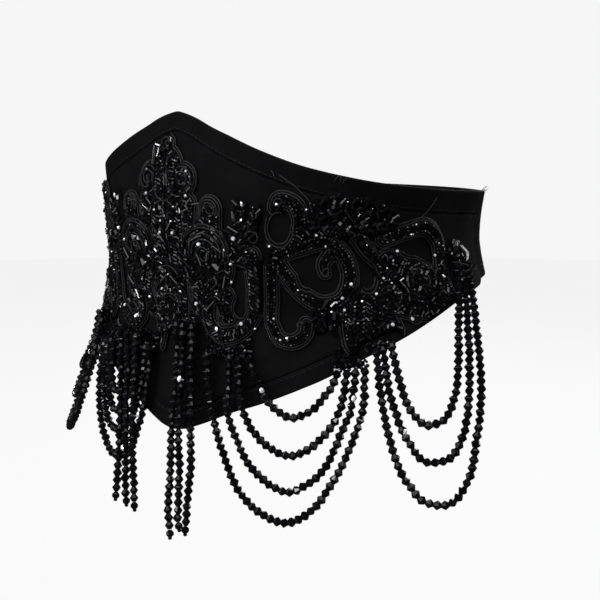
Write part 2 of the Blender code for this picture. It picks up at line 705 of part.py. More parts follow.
def build_fringes():
    """Every group of swags and hanging strands with its roots."""
    low, high = LAY_GAP, STRAND_OFF - 0.2
    fringe("left_front_swags", LEFT_FRONT,
           ((((14.2, -54), (31.8, -54)), low, high, 4.4),
            (((54.3, -57.4), (62.2, -54)), low, high, 4.0)), STRAND_OFF, False)
    fringe("left_side_swags", LEFT_SIDE,
           ((((62.9, -48.4), (68.6, -43)), low, high, 4.0),
            (((89.2, -7), (96, -7)), low, high, 4.0)), STRAND_OFF, False)
    fringe("right_front_swags", RIGHT_FRONT,
           ((((-21.8, -57.2), (-11.2, -57.2)), low, high, 4.4),
            (((-45, -57), (-34.8, -57)), low, high, 4.4)), STRAND_OFF, False)
    fringe("right_side_swags", RIGHT_SIDE,
           ((((-56.3, -46.5), (-49, -46.5)), low, high, 4.0),
            (((-96, -7), (-89.2, -7)), low, high, 4.0)), STRAND_OFF, False)
    fringe("left_dangles", LEFT_DANGLES,
           ((((1.8, -40), (11.5, -40)), 3.2, DANGLE_OFF - 1.6, 4.4),), DANGLE_OFF - 1.4, True)
    fringe("right_dangles", RIGHT_DANGLES,
           ((((-29.6, -50), (-16.2, -50)), 3.6, DANGLE_OFF - 0.2, 4.4),), DANGLE_OFF, True)


def jewel(name, angle, z, color):
    """Oval stone with a domed face and a flat back."""
    count, rings = 16, 3
    a_mm = math.radians(1) * 108
    verts, faces = [], []
    for k in range(rings):
        t = k / rings
        size = math.cos(t * math.pi / 2) ** 0.8 if k else 1.0
        off = LAY_GAP + 0.5 + 1.5 * math.sin(t * math.pi / 2)
        for i in range(count):
            u = 2 * math.pi * i / count
            verts.append(body(angle + 2.7 * size * math.cos(u) / a_mm, z
                              + 4.2 * size * math.sin(u), off if k else LAY_GAP + 0.5))
    verts.append(body(angle, z, LAY_GAP + 2.0))
    top = len(verts) - 1
    for i in range(count):
        u = 2 * math.pi * i / count
        verts.append(body(angle + 2.7 * math.cos(u) / a_mm, z + 4.2 * math.sin(u), LAY_GAP))
    base = top + 1
    for k in range(rings - 1):
        for i in range(count):
            j = (i + 1) % count
            faces.append((k * count + i, k * count + j, (k + 1) * count + j,
                          (k + 1) * count + i))
    for i in range(count):
        j = (i + 1) % count
        faces.append(((rings - 1) * count + i, (rings - 1) * count + j, top))
        faces.append((base + i, base + j, j, i))
    faces.append(tuple(base + i for i in reversed(range(count))))
    new_object(name, np.array(verts), faces, color)


def prism(name, profile, z0, z1, color):
    """Solid whose profile in (angle, offset) is carried from one level to another."""
    n = len(profile)
    a = np.array([p[0] for p in profile])
    o = np.array([p[1] for p in profile])
    verts = np.concatenate([body(a, np.full(n, z0), o), body(a, np.full(n, z1), o)])
    faces = [tuple(range(n)), tuple(n + i for i in reversed(range(n)))]
    for i in range(n):
        j = (i + 1) % n
        faces.append((j, i, n + i, n + j))
    new_object(name, verts, faces, color)


def build_fasteners():
    """Flat hooks inside the free end of the front and the bars they hold on to."""
    lift = 0.5
    for label, z in HOOK_LEVELS:
        top = lift - WALL - LAY_GAP
        hook = ((103.4, top), (98.2, top), (98.2, top - 1.5), (98.9, top - 1.5),
                (98.9, top - 0.6), (103.4, top - 0.6))
        prism("hook_" + label, hook, z - 2.5, z + 2.5, "metal")
        low = -UNDERLAP_DROP + LAY_GAP
        bar = ((99.3, low), (101.2, low), (101.2, low + 0.75), (99.3, low + 0.75))
        prism("bar_" + label, bar, z - 4.0, z + 4.0, "metal")


def main():
    """Clear the scene and build every piece of the belt."""
    for obj in list(bpy.data.objects):
        bpy.data.objects.remove(obj, do_unlink=True)
    build_walls()
    applique("center_applique", "center", 1)
    applique("left_applique", "side", 1)
    applique("right_applique", "side", -1)
    build_fringes()
    jewel("left_jewel", 93.0, 1.6, "stone")
    jewel("right_jewel", -93.0, 1.6, "stone")
    build_fasteners()


main()
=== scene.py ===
"""Beaded corset belt: cloth, lace, beads and hanging strands round the fixed frame.

Tables are in millimetres and degrees. A place on the cloth is (s, z): s is the length round
the waist from centre front towards the wearer's left, z the height above the waist.
"""
import math

import bpy
import numpy as np
from bpy.props import FloatProperty, FloatVectorProperty, IntProperty, PointerProperty
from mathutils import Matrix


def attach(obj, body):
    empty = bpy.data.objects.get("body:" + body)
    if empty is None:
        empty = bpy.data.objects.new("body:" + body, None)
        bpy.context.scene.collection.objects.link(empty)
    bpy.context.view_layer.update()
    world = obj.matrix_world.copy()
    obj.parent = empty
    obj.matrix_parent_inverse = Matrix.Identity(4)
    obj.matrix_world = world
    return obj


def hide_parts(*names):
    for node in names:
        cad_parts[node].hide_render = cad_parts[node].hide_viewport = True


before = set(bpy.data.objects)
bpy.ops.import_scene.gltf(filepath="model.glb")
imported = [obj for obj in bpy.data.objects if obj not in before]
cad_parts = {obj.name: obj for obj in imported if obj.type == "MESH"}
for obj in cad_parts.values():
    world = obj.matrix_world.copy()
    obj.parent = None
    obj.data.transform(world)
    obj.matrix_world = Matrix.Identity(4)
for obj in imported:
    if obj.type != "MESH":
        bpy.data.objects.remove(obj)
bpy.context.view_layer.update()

bl_info = {
    "name": "Beaded Corset Belt",
    "version": (1, 0, 0),
    "blender": (4, 5, 0),
    "location": "View3D > Sidebar > Belt",
    "description": "Builds the cloth, lace, beads and strands of a corset belt",
    "category": "Object",
}

MM = 0.001

# Cloth body: level, half width, front depth, back depth and roundness
LEVEL = (-190, -150, -104, -60, -25, 0, 30, 71, 100)
HALF_WIDTH = (164, 161, 152, 137, 120, 110.5, 114.5, 122, 126.5)
FRONT_DEPTH = (104, 99.5, 92.5, 85.5, 86, 88, 88.5, 85.5, 84)
BACK_DEPTH = (111, 107, 102, 97.5, 91, 87.5, 86.8, 85.5, 84.5)
POWER_LEVEL = (-190, -104, -40, 10, 100)
POWER = (2.10, 2.10, 2.0, 2.29, 2.29)

# Edge heights: angle from centre front, height
TOP_EDGE = ((0, 69), (5, 67.5), (10, 65.2), (16, 61.4), (24, 56.7), (35, 49.6), (50, 40.9),
            (70, 33.3), (95, 28.5), (130, 25.5), (180, 25))
LOW_EDGE = ((0, -98.3), (5, -97.2), (10, -94.6), (16, -90.8), (24, -85), (35, -78), (50, -65.6),
            (66, -48.3), (90, -26.5), (105, -21), (120, -18.5), (135, -17), (180, -16.5))

# Ends: angles of the front's and the back's, lap of a seam, depth and fade of the underlap
FRONT_END = 105.0
BACK_START = 92.0
SEAM_LAP = 0.3
UNDERLAP_DROP = 4.7
UNDERLAP_END = 105.6
UNDERLAP_FADE = 9.0

# Bands: depths at the sides and at centre front, the angle between, least depth at the corner
TOP_BAND_DEPTH = 12.4
TOP_BAND_DEPTH_CENTER = 10.2
TOP_BAND_BLEND = 24
HEM_BAND_DEPTH = 10.0
HEM_BAND_LEAST = 3.0

# Free end of the front: angle and rise of its lift, its corner, its flare and where that grows
FREE_END = 90
FREE_END_RISE = 15
END_LIFT = 0.5
END_CORNER = 7.0
CORNER_SHARE = 0.985
END_FLARE = 2.2
FLARE_LEVEL = -4
FLARE_RISE = 30

# How much a crease bows sideways, and the gap under all that lies on the cloth
CREASE_BOW = 0.03
LAY_GAP = 0.35

# Lace: how far the middle piece sits off the centre line and where that fades, the cut between
# the pieces, room to the hem and top seam, and the leaf spray's reach over that seam
LACE_SHIFT = 8.0
SHIFT_START = 56
SHIFT_FADE = 110
LACE_CUT = 57.2
CUT_GAP = 0.3
HEM_ROOM = 1.2
TOP_ROOM = 0.4
SPRAY_OVER = 4.2
SPRAY_START = 81
SPRAY_STOP = 127
SPRAY_FADE = 5

# Places searched for lace: first and last s of a piece, lowest and highest z
LACE_SPAN = {"center": (-66.0, 58.0), "side": (56.0, 164.0)}
LACE_LEVELS = (-62.0, 60.0)
# Lace pieces: name, drawn form, side
LACE_PIECES = (("center", "center", 1), ("left", "side", 1), ("right", "side", -1))

# Soft creases: s, z, half length, half width, turn, depth (a ridge is positive)
CREASES = (
    (-40, 42, 26, 3.4, 28, -0.34), (-22, 50, 17, 2.6, 35, 0.22), (-46, 30, 12, 2.2, 62, -0.25),
    (30, 40, 22, 3, -22, -0.3), (46, 34, 15, 2.4, -12, 0.2), (20, 28, 11, 2.4, -55, -0.22),
    (84, 36, 20, 2.6, -9, -0.28), (118, 27, 16, 2.2, 4, 0.18), (62, -57, 24, 3, 14, -0.42),
    (84, -52, 14, 2.4, 30, 0.26), (72, -68, 13, 2.4, 8, -0.34), (40, -70, 17, 3, 70, -0.36),
    (18, -76, 15, 2.6, 84, 0.22), (-8, -72, 21, 3.2, 96, -0.42), (-24, -78, 13, 2.2, 104, 0.24),
    (168, 14, 13, 2.8, 68, -0.42), (176, 6, 11, 2.2, 82, 0.3), (184, 16, 10, 2, 75, -0.32),
    (172, -9, 9, 1.8, 12, -0.26), (-70, -55, 22, 3, -18, -0.38), (-88, -46, 13, 2.4, -34, 0.26),
    (-168, 12, 14, 2.8, 112, -0.44), (-178, 4, 10, 2.2, 98, 0.3), (-150, 22, 15, 2.4, -4, -0.26),
    (216, 6, 18, 3.4, 58, -0.55), (231, 12, 12, 2.6, 74, 0.36), (249, -1, 20, 3.6, 104, -0.6),
    (268, 9, 14, 2.6, 88, 0.34), (292, 3, 21, 3.8, 70, -0.5), (318, 8, 16, 3, 96, -0.62),
    (338, -3, 12, 2.4, 110, 0.34), (357, 6, 19, 3.4, 82, -0.52), (384, 4, 15, 2.8, 64, -0.45),
    (402, 10, 11, 2.4, 95, 0.3), (421, 2, 16, 3, 116, -0.5), (436, 8, 10, 2.2, 80, 0.26),
)

# Lace on the wearer's left: kind, half width at start and end, ridge, points (s, z)
STROKES = {
    "center": (
        ("apex", 6.3, 6.4, 1.4, ((-4, 52), (-4, 42))),
        ("trunk", 13, 15, 0.9, ((-4, 40), (-4, 10), (-4, -32))),
        ("upper lobe", 9.5, 8, 1.8, ((9, 34.5), (4, 22))),
        ("shoulder lobe", 8, 8.5, 1.7, ((27, 19.5), (26, 4))),
        ("rosette", 17.5, 17, 2, ((23, -3), (25, -9))),
        ("leaf one", 4.6, 6.5, 1.6, ((45, 22), (42, 3))),
        ("leaf two", 4.2, 6.5, 1.6, ((54, 20), (46, 4))),
        ("bridge", 7, 6, 1, ((11, -12), (18, -23), (14, -35))),
        ("web two", 5.6, 5.6, 0.9, ((38, -3), (51, -6))), ("web", 6, 6, 0.9, ((13, 22), (12, 12))),
        ("fan", 9, 8, 1.5, ((0, -36), (4, -42))),
        ("drop", 3.4, 2.6, 2, ((-11, -44), (-13.5, -56))),
        ("bowl", 6, 5.4, 1.9, ((51, -3), (53, -20), (51, -33), (43, -42), (32, -45), (24, -39),
                               (24, -28))),
        ("bowl middle", 8, 7, 1.2, ((34, -26), (36, -34))),
    ),
    "side": (
        ("upper scroll", 4.8, 5.4, 1.9, ((64.5, 22), (66, 25.5), (73, 24), (77, 15), (74, 5),
                                         (66, 0), (61, 0))),
        ("scroll return", 4.4, 5, 1.7, ((60.5, 14), (60.5, 4), (61.5, -12))),
        ("vine", 5, 5, 1.8, ((62, -3), (76, 2), (90, 5), (98, -2), (101, -13), (97, -23),
                             (88, -26), (78, -21), (70, -12), (64, -4))),
        ("vine curl", 3.6, 4.4, 1.8, ((89, -10.5), (88, -7), (92, 0))),
        ("hook scroll", 4.6, 4.4, 1.9, ((62, -8), (62, -24), (62.5, -38), (67, -44.5),
                                        (74, -45), (79, -41), (80, -36))),
        ("hook leaf", 4.2, 4, 1.5, ((86, -37), (86, -27))),
        ("hook leaf two", 4, 4, 1.5, ((95, -38), (94, -26))),
        ("spray stem", 5, 6, 1.3, ((78, 11), (98, 11), (121, 13))),
        ("spray leaf one", 4.4, 5, 1.8, ((85, 24), (84, 12))),
        ("spray leaf two", 4.4, 5, 1.9, ((92.5, 27), (92, 12))),
        ("spray leaf three", 4.2, 5, 1.8, ((100, 25), (99, 12))),
        ("spray leaf four", 4.6, 5, 1.9, ((107.5, 25), (106, 12))),
        ("spray leaf five", 4.4, 5, 1.8, ((115.5, 21.5), (113, 12))),
        ("spray leaf six", 4.2, 5, 1.7, ((122, 18), (118, 10))),
        ("spray fall", 4.4, 4.4, 1.4, ((104, 8), (109, 1), (116, -6))),
        ("arch", 4.8, 5.6, 1.9, ((118, 6), (130, 9.5), (143, 11), (151, 4), (152, -8),
                                 (149, -18))),
        ("arch foot", 5.2, 4.2, 2, ((151, -18), (152.5, -30))),
        ("cluster", 9, 10.5, 1.8, ((121, -7), (135, -13), (143, -19))),
        ("cluster low", 9.5, 8, 1.9, ((117, -21), (130, -26), (141, -28))),
        ("hem lobe", 8.5, 9, 1.9, ((105, -25), (104, -38), (105, -44))),
        ("hem lobe two", 8, 7, 1.8, ((114, -30), (118, -38))),
    ),
}
# Open places in the lace: centre s and z, radii
WINDOWS = {
    "center": (
        (43.5, -30.5, 3.4, 4.4),
    ),
    "side": (
        (66, 11.5, 5.4, 7.2), (80, -10.5, 4, 6.6), (71, -31, 5.2, 7), (109.5, -12.5, 3.2, 5.2),
        (136, 1, 7, 3.6),
    ),
}
# Places kept free of lace for the strand roots: side, two points (s, z), half width
ROOT_CLEARANCE = (
    ("left", 90.5, -57.6, 110.5, -51.3, 3.6),
    ("left", 107.5, -48.5, 119.5, -43, 4.0),
    ("left", 158.5, -7, 171, -7, 3.6),
    ("right", 81.0, -46.5, 96.0, -46.5, 3.6),
    ("right", 158.5, -7, 171, -7, 3.6),
)
# Rays of long cut stones: centre s and z, first and last angle, count, start, end, width
RAYS = {
    "center": (
        (23, -4, 198, 342, 8, 4.5, 14, 2.5), (23, -4, 25, 155, 8, 4, 9.5, 1.9),
        (-4, -20, 22, 158, 8, 4, 13.5, 2.3), (-4, 13, 28, 152, 6, 3.5, 11, 2),
        (5, -38, 205, 345, 6, 2.2, 8.5, 1.7), (8.5, 34.5, 0, 300, 6, 1.8, 5.4, 1.7),
        (27, 18.5, 20, 160, 5, 1.6, 5.2, 1.4), (35, -27, 200, 340, 5, 2, 6.8, 1.5),
    ),
    "side": (
        (137, -15, 0, 320, 9, 2, 7, 1.6), (120, -22, 20, 340, 8, 2, 6.8, 1.6),
        (104, -38, 190, 350, 6, 2, 7.6, 1.7), (118, -33, 180, 330, 5, 1.8, 6, 1.5),
    ),
}
# Cut stones painted white as glints: s, z, radius before the scale of the stones, stretch
STONES = {
    "center": (
        (11.5, 38.5, 1.3, 1), (14.5, 36, 1, 1), (11.5, 26, 1.35, 1), (5, 17.5, 1, 1),
        (0.5, 12, 1.25, 1), (-8.6, 6, 1.4, 1), (20, 1.5, 1.7, 1), (41.5, 5.5, 1.9, 1),
        (54, 5, 1.35, 1), (36, -0.5, 1.1, 1.2), (39.5, -7.5, 1.1, 1.1), (3.5, -24.5, 1.15, 1.4),
        (15.5, -30, 1.6, 1), (44.5, -38, 1.7, 1), (29, -42, 1.6, 1.6), (52.5, -40, 0.9, 1),
        (29, 8, 0.9, 1), (46.5, 23, 1.2, 2), (46, 15, 1, 1), (39, -17, 1.15, 1),
        (-9, -52, 1.5, 2.2),
    ),
    "side": (
        (61, 2.5, 1, 1), (65, 23.5, 1.1, 1), (79.5, 21, 0.9, 1), (107, 27, 1.9, 1),
        (112.8, 24.5, 1.3, 1), (101, -15.5, 1.35, 1), (84.5, 8.5, 1.25, 1), (89, 3, 0.9, 1),
        (97, -22.6, 1.3, 1), (94.2, -24.8, 1.1, 1), (113, -20.5, 1.15, 1.2), (98, -28.5, 1.25, 1),
        (106, -24, 1, 1), (119, -35.5, 1.5, 1), (134, 8, 1, 1), (125, 0, 1.3, 1),
        (122.6, -4.6, 1, 1), (144, -5, 1.15, 1), (148.5, -3.4, 1.1, 1), (151, -14, 1.3, 1.5),
        (152.4, -30, 1.9, 1.4), (151.5, 2.5, 0.9, 1), (128.5, -33, 1.2, 1.6), (70, -43.5, 1, 1),
        (66.5, -44.6, 1.1, 1), (63, -34, 0.9, 1), (117, -13, 1, 1), (70.5, 16.5, 0.9, 1),
        (92, -29.5, 0.9, 1), (108.5, -51, 1.1, 1),
    ),
}

# Strands: points (angle, height) from the inner root to the outer root
LEFT_FRONT = (
    ((30.5, -54), (33.1, -63), (35.5, -70), (38.9, -77.5), (43.8, -81.5), (47.5, -79),
     (52.4, -69), (55.4, -57.5)),
    ((27.6, -54), (28.2, -66), (29.3, -78), (32.3, -88), (38.2, -97), (43, -100), (47, -97),
     (50.8, -90), (54.3, -80), (56.2, -69), (57.3, -57)),
    ((24.2, -54), (24.6, -68), (24.9, -84), (28.7, -96), (32.7, -107), (38.4, -115),
     (43, -117.5), (47.2, -113), (51.3, -104), (54.3, -91), (57, -78), (59.2, -56.5)),
    ((15.4, -54), (17.2, -74), (20.5, -90), (25.9, -109), (30.5, -122), (36.8, -130),
     (42.6, -132.5), (46.8, -128), (51.9, -114), (57.2, -91), (59.8, -76), (61.1, -55.5)),
)
LEFT_SIDE = (
    ((67.2, -44), (67.9, -62), (69.1, -75), (71.7, -82.5), (74.6, -81), (78, -71), (80.7, -56),
     (83.5, -39), (87.2, -23), (90.4, -7.5)),
    ((65.3, -45.5), (65.9, -73), (67.7, -89), (70.6, -99.5), (74.3, -99), (78.1, -89),
     (80.8, -74), (83.5, -56), (86.3, -39), (89.6, -23), (92.6, -7.5)),
    ((63.9, -46.8), (63.9, -74), (64.6, -91), (66.6, -108), (69.9, -118.5), (73.3, -120),
     (77.3, -111), (80.9, -91), (83.6, -75), (86.4, -56), (89, -39), (92, -24), (94.8, -7.5)),
)
RIGHT_FRONT = (
    ((-20.6, -56), (-22, -72), (-25.5, -83), (-30.5, -84.5), (-34, -75), (-36, -58)),
    ((-17.9, -56), (-19, -78), (-22.6, -92), (-28, -95.5), (-33, -86.5), (-36.6, -74),
     (-38.6, -58)),
    ((-15.2, -56), (-15.8, -84), (-18.6, -99), (-22.9, -104.5), (-28.2, -104), (-33.2, -96),
     (-37.2, -84), (-39.8, -72), (-41.2, -58)),
    ((-12.5, -56), (-12.6, -90), (-14.8, -108), (-19, -117.5), (-25, -118), (-31, -110.5),
     (-36.8, -97.5), (-41, -83), (-43.2, -70), (-43.8, -58)),
)
RIGHT_SIDE = (
    ((-55, -46), (-55.6, -62), (-58.5, -76), (-63.5, -84), (-69.5, -81.5), (-75, -70),
     (-80, -54), (-84.4, -38), (-88, -23), (-90.4, -7.5)),
    ((-52.6, -46), (-52.8, -68), (-54.8, -87), (-59.6, -99.5), (-66, -102), (-72.4, -91),
     (-78.4, -72.5), (-83.4, -54), (-87.2, -38), (-90.4, -23), (-92.6, -7.5)),
    ((-50.2, -46), (-50.2, -72), (-51.4, -94), (-55.6, -113), (-62.6, -122), (-69.8, -115),
     (-76.2, -95), (-82, -72), (-86.8, -52), (-90.4, -36), (-93, -22), (-94.8, -7.5)),
)
RIGHT_DANGLES = (
    ((-28.2, -50), (-23.6, -78), (-19.6, -103), (-18, -118), (-17, -136)),
    ((-23.2, -50), (-19.6, -78), (-16.2, -103), (-13.4, -125), (-12, -137)),
    ((-17.6, -50), (-15.2, -86), (-11.2, -116), (-9, -129), (-8, -138)),
)
LEFT_DANGLES = (
    ((3, -40), (3.4, -60), (4.2, -97), (5.8, -121), (6.2, -139), (7.4, -147)),
    ((6.2, -40), (6.2, -71), (7.2, -97), (8.9, -112), (9.8, -131), (10.4, -142)),
    ((10.2, -40), (10.2, -57), (11.4, -85), (13.6, -116), (13.4, -130), (13.2, -143)),
)
# Strand groups: node, strands, roots as (first point, last point, low, high), offset, end beads
STRAND_GROUPS = (
    ("left_front_swags", LEFT_FRONT, (((14.2, -54), (31.8, -54), 0.35, 4.6),
                                      ((54.3, -57.4), (62.2, -54), 0.35, 4.6)), 4.8, False),
    ("left_side_swags", LEFT_SIDE, (((62.9, -48.4), (68.6, -43), 0.35, 4.6),
                                    ((89.2, -7), (96, -7), 0.35, 4.6)), 4.8, False),
    ("right_front_swags", RIGHT_FRONT, (((-21.8, -57.2), (-11.2, -57.2), 0.35, 4.6),
                                        ((-45, -57), (-34.8, -57), 0.35, 4.6)), 4.8, False),
    ("right_side_swags", RIGHT_SIDE, (((-56.3, -46.5), (-49, -46.5), 0.35, 4.6),
                                      ((-96, -7), (-89.2, -7), 0.35, 4.6)), 4.8, False),
    ("left_dangles", LEFT_DANGLES, (((1.8, -40), (11.5, -40), 3.2, 6.8),), 7.0, True),
    ("right_dangles", RIGHT_DANGLES, (((-29.6, -50), (-16.2, -50), 3.6, 8.2),), 8.4, True),
)
# Loose threads: start (s, z), end (s, z), bow, lift at start and end
LOOSE_THREADS = (
    ((66, 38), (85, 20), 1.6, 0.5, 1.6), ((131, 13), (148, 26), -2.2, 1.6, 0.6),
    ((62, 40), (63.5, 37), 0.5, 0.4, 1.0), ((93, 34.5), (95, 37.8), 0.6, 0.3, 1.2),
    ((95.5, 34.4), (95.2, 38.4), -0.5, 0.3, 1.4), ((97, 34.2), (98.4, 36.6), 0.4, 0.2, 1.0),
    ((184, 27.6), (186.5, 30), 0.5, 0.3, 1.4), ((186, 27.4), (188.6, 28.8), -0.4, 0.3, 1.8),
    ((188, 26.6), (190.4, 28.2), 0.4, 0.4, 2.2), ((187, 27.2), (187.6, 30), 0.3, 0.2, 1.0),
    ((-31, -66), (-25, -59), 1.2, 0.4, 1.4), ((232, -12), (240, -6), 1.4, 0.4, 1.2),
)


def smooth_table(knots, values, x):
    """Monotone cubic through (knots, values): Hermite pieces with harmonic-mean slopes."""
    k = np.asarray(knots, float)
    v = np.asarray(values, float)
    step = np.diff(k)
    rise = np.diff(v) / step
    slope = np.zeros_like(v)
    for i in range(1, len(k) - 1):
        if rise[i - 1] * rise[i] > 0:
            w1 = 2 * step[i] + step[i - 1]
            w2 = step[i] + 2 * step[i - 1]
            slope[i] = (w1 + w2) / (w1 / rise[i - 1] + w2 / rise[i])
    slope[0] = end_slope(step[0], step[1], rise[0], rise[1])
    slope[-1] = end_slope(step[-1], step[-2], rise[-1], rise[-2])
    return hermite(k, v, slope, np.clip(np.asarray(x, float), k[0], k[-1]))


def end_slope(h0, h1, d0, d1):
    """One-sided slope at the end of a table, kept from overshooting."""
    s = ((2 * h0 + h1) * d0 - h0 * d1) / (h0 + h1)
    if s * d0 <= 0:
        return 0.0
    if d0 * d1 <= 0 and abs(s) > abs(3 * d0):
        return 3 * d0
    return s


def hermite(knots, values, slope, x):
    """Cubic pieces that meet the values with the given slopes."""
    i = np.clip(np.searchsorted(knots, x, side="right") - 1, 0, len(knots) - 2)
    h = knots[i + 1] - knots[i]
    t = (x - knots[i]) / h
    return ((1 + 2 * t) * (1 - t) ** 2 * values[i] + t * (1 - t) ** 2 * h * slope[i]
            + t * t * (3 - 2 * t) * values[i + 1] + t * t * (t - 1) * h * slope[i + 1])


def spline_table(knots, values, x):
    """Natural cubic spline through (knots, values), held level outside them."""
    k = np.asarray(knots, float)
    v = np.asarray(values, float)
    h = np.diff(k)
    n = len(k)
    m = np.eye(n)
    b = np.zeros(n)
    for i in range(1, n - 1):
        m[i, i - 1:i + 2] = (h[i - 1], 2 * (h[i - 1] + h[i]), h[i])
        b[i] = 6 * ((v[i + 1] - v[i]) / h[i] - (v[i] - v[i - 1]) / h[i - 1])
    bend = np.linalg.solve(m, b)
    x = np.clip(np.asarray(x, float), k[0], k[-1])
    i = np.clip(np.searchsorted(k, x, side="right") - 1, 0, n - 2)
    u = (k[i + 1] - x) / h[i]
    t = 1 - u
    part = (u ** 3 - u) * bend[i] + (t ** 3 - t) * bend[i + 1]
    return u * v[i] + t * v[i + 1] + part * h[i] ** 2 / 6


def smooth_step(x):
    """Zero below 0, one above 1, with level ends."""
    x = np.clip(x, 0, 1)
    return x * x * (3 - 2 * x)


def body(angle, z, off=0.0):
    """Outer face of the cloth: an oval whose sine and cosine parts, each over its tabled half
    size and raised to the tabled power, add up to one."""
    t = np.radians(np.asarray(angle, float))
    z = np.asarray(z, float) + 0 * t
    off = np.asarray(off, float) + 0 * t
    width = spline_table(LEVEL, HALF_WIDTH, z) + off
    front = spline_table(LEVEL, FRONT_DEPTH, z) + off
    back = spline_table(LEVEL, BACK_DEPTH, z) + off
    power = smooth_table(POWER_LEVEL, POWER, z)
    depth = np.where(np.cos(t) > 0, front, back)
    r = (np.abs(np.sin(t) / width) ** power + np.abs(np.cos(t) / depth) ** power) ** (-1 / power)
    return np.stack([r * np.sin(t), -r * np.cos(t), z], -1)


def lengths_along(line):
    """Length along a line of points, up to each of them."""
    steps = np.linalg.norm(np.diff(line, axis=0), axis=1)
    return np.concatenate([[0], np.cumsum(steps)])


def sampled(line, run, at):
    """Points of a line at the lengths in at, where run is the length up to each point."""
    return np.stack([np.interp(at, run, line[:, k]) for k in range(line.shape[1])], -1)


def smooth_line(points, run, at):
    """Cubic through the points, which stand at the lengths run, read at the lengths in at."""
    slope = np.stack([np.gradient(points[:, k], run) for k in range(2)], -1)
    return np.stack([hermite(run, points[:, k], slope[:, k], at) for k in range(2)], -1)


def arc_table():
    """Length round the waist against the angle, once round and half round again."""
    angle = np.arange(-180, 360.25, 0.5)
    s = lengths_along(body(angle, np.zeros_like(angle)))
    return s - np.interp(0, angle, s), angle


ARC_S, ARC_ANGLE = arc_table()


def angle_at(s):
    """Angle at the length s round the waist."""
    return np.interp(s, ARC_S, ARC_ANGLE)


def arc_at(angle):
    """Length round the waist up to the angle."""
    return np.interp(angle, ARC_ANGLE, ARC_S)


def edge(table, angle):
    """Height of an edge at the angle, the same on both sides of centre front."""
    a = np.abs(np.asarray(angle, float))
    a = np.where(a > 180, 360 - a, a)
    return smooth_table([p[0] for p in table], [p[1] for p in table], a)


def low_edge(angle):
    """Lower edge with the quarter-round corner at the free end."""
    d = np.clip(END_CORNER - (arc_at(FRONT_END) - arc_at(angle)), 0, END_CORNER)
    corner = END_CORNER - np.sqrt(END_CORNER ** 2 - (CORNER_SHARE * d) ** 2)
    return edge(LOW_EDGE, angle) + np.where(np.asarray(angle) > FREE_END, corner, 0)


def top_seam(angle):
    """Seam between the top band and the panel."""
    blend = np.clip(np.abs(np.asarray(angle, float)) / TOP_BAND_BLEND, 0, 1)
    depth = TOP_BAND_DEPTH_CENTER + (TOP_BAND_DEPTH - TOP_BAND_DEPTH_CENTER) * blend
    return edge(TOP_EDGE, angle) - depth


def hem_seam(angle):
    """Seam between the hem band and the panel."""
    return np.maximum(edge(LOW_EDGE, angle) + HEM_BAND_DEPTH, low_edge(angle) + HEM_BAND_LEAST)


def underlap(angle):
    """One where the back band lies under the front, falling to zero behind its free end."""
    return 1 - smooth_step((np.asarray(angle) - UNDERLAP_END) / UNDERLAP_FADE)


def front_off(angle, z):
    """How far the front stands outside the oval near its free end."""
    lift = smooth_step((np.asarray(angle) - FREE_END) / FREE_END_RISE)
    flare = np.clip((z - FLARE_LEVEL) / FLARE_RISE, 0, 1) ** 2
    return lift * (END_LIFT + END_FLARE * flare)


def back_off(angle, z):
    """How far the back band drops inwards under the free end of the front."""
    return -UNDERLAP_DROP * underlap(angle) + 0 * z


def crease(s, z):
    """Sum of soft ridges and troughs: each a bell along and across its own turned axes, bowed
    a little to one side."""
    out = np.zeros(np.broadcast(s, z).shape)
    for cs, cz, length, width, turn, depth in CREASES:
        c, n = math.cos(math.radians(turn)), math.sin(math.radians(turn))
        bow = CREASE_BOW if depth > 0 else -CREASE_BOW
        along = (s - cs) * c + (z - cz) * n
        across = (z - cz) * c - (s - cs) * n + bow * along ** 2 / length
        out += depth * np.exp(-(along / length) ** 2 * 2 - (across / width) ** 2)
    return out


def mirror(s):
    """The mirror image of s within the middle piece, which sits off the centre line."""
    return -LACE_SHIFT - s


def mirrored_arc(s):
    """The same place on the wearer's right; the shift of the middle piece fades out there."""
    return -s - LACE_SHIFT * (1 - smooth_step((s - SHIFT_START) / SHIFT_FADE))


def surface(s, z, off, side=1):
    """Point of the cloth at (s, z), moved out by off; side -1 is the mirrored place."""
    return body(angle_at(s if side > 0 else mirrored_arc(s)), z, off)


def unit(v):
    """Vectors of length one."""
    return v / np.maximum(np.linalg.norm(v, axis=-1, keepdims=True), 1e-12)


# Small steps that read the direction of the cloth: along a turn, and both ways
TURN_STEP = 0.3
CLOTH_STEP = 0.4


def frames(s, z, turn, off, side=1):
    """Centres and axes of things laid on the cloth: the first axis points along turn
    (degrees in the cloth), the third out of the cloth, the second completes them."""
    s, z, turn = (np.asarray(v, float) for v in (s, z, np.radians(turn)))
    p = surface(s, z, off, side)
    first = surface(s + TURN_STEP * np.cos(turn), z + TURN_STEP * np.sin(turn), off, side) - p
    real = s if side > 0 else mirrored_arc(s)
    e = CLOTH_STEP
    round_way = body(angle_at(real + e), z, off) - body(angle_at(real - e), z, off)
    up = body(angle_at(real), z + e, off) - body(angle_at(real), z - e, off)
    out = unit(np.cross(round_way, up))
    first = unit(first - (first * out).sum(-1, keepdims=True) * out)
    return p, np.stack([first, np.cross(out, first), out], -2)


def tilted(axes, rng, amount):
    """Axes turned a little at random, so that facets catch the light differently."""
    out = axes[:, 2] + rng.normal(0, amount, (len(axes), 1)) * axes[:, 0]
    out = unit(out + rng.normal(0, amount, (len(axes), 1)) * axes[:, 1])
    first = unit(axes[:, 0] - (axes[:, 0] * out).sum(-1, keepdims=True) * out)
    return np.stack([first, np.cross(out, first), out], -2)


def laid_down(axes):
    """Axes turned over, so that a bead's own axis lies along the cloth."""
    return np.stack([axes[:, 2], -axes[:, 1], axes[:, 0]], -2)


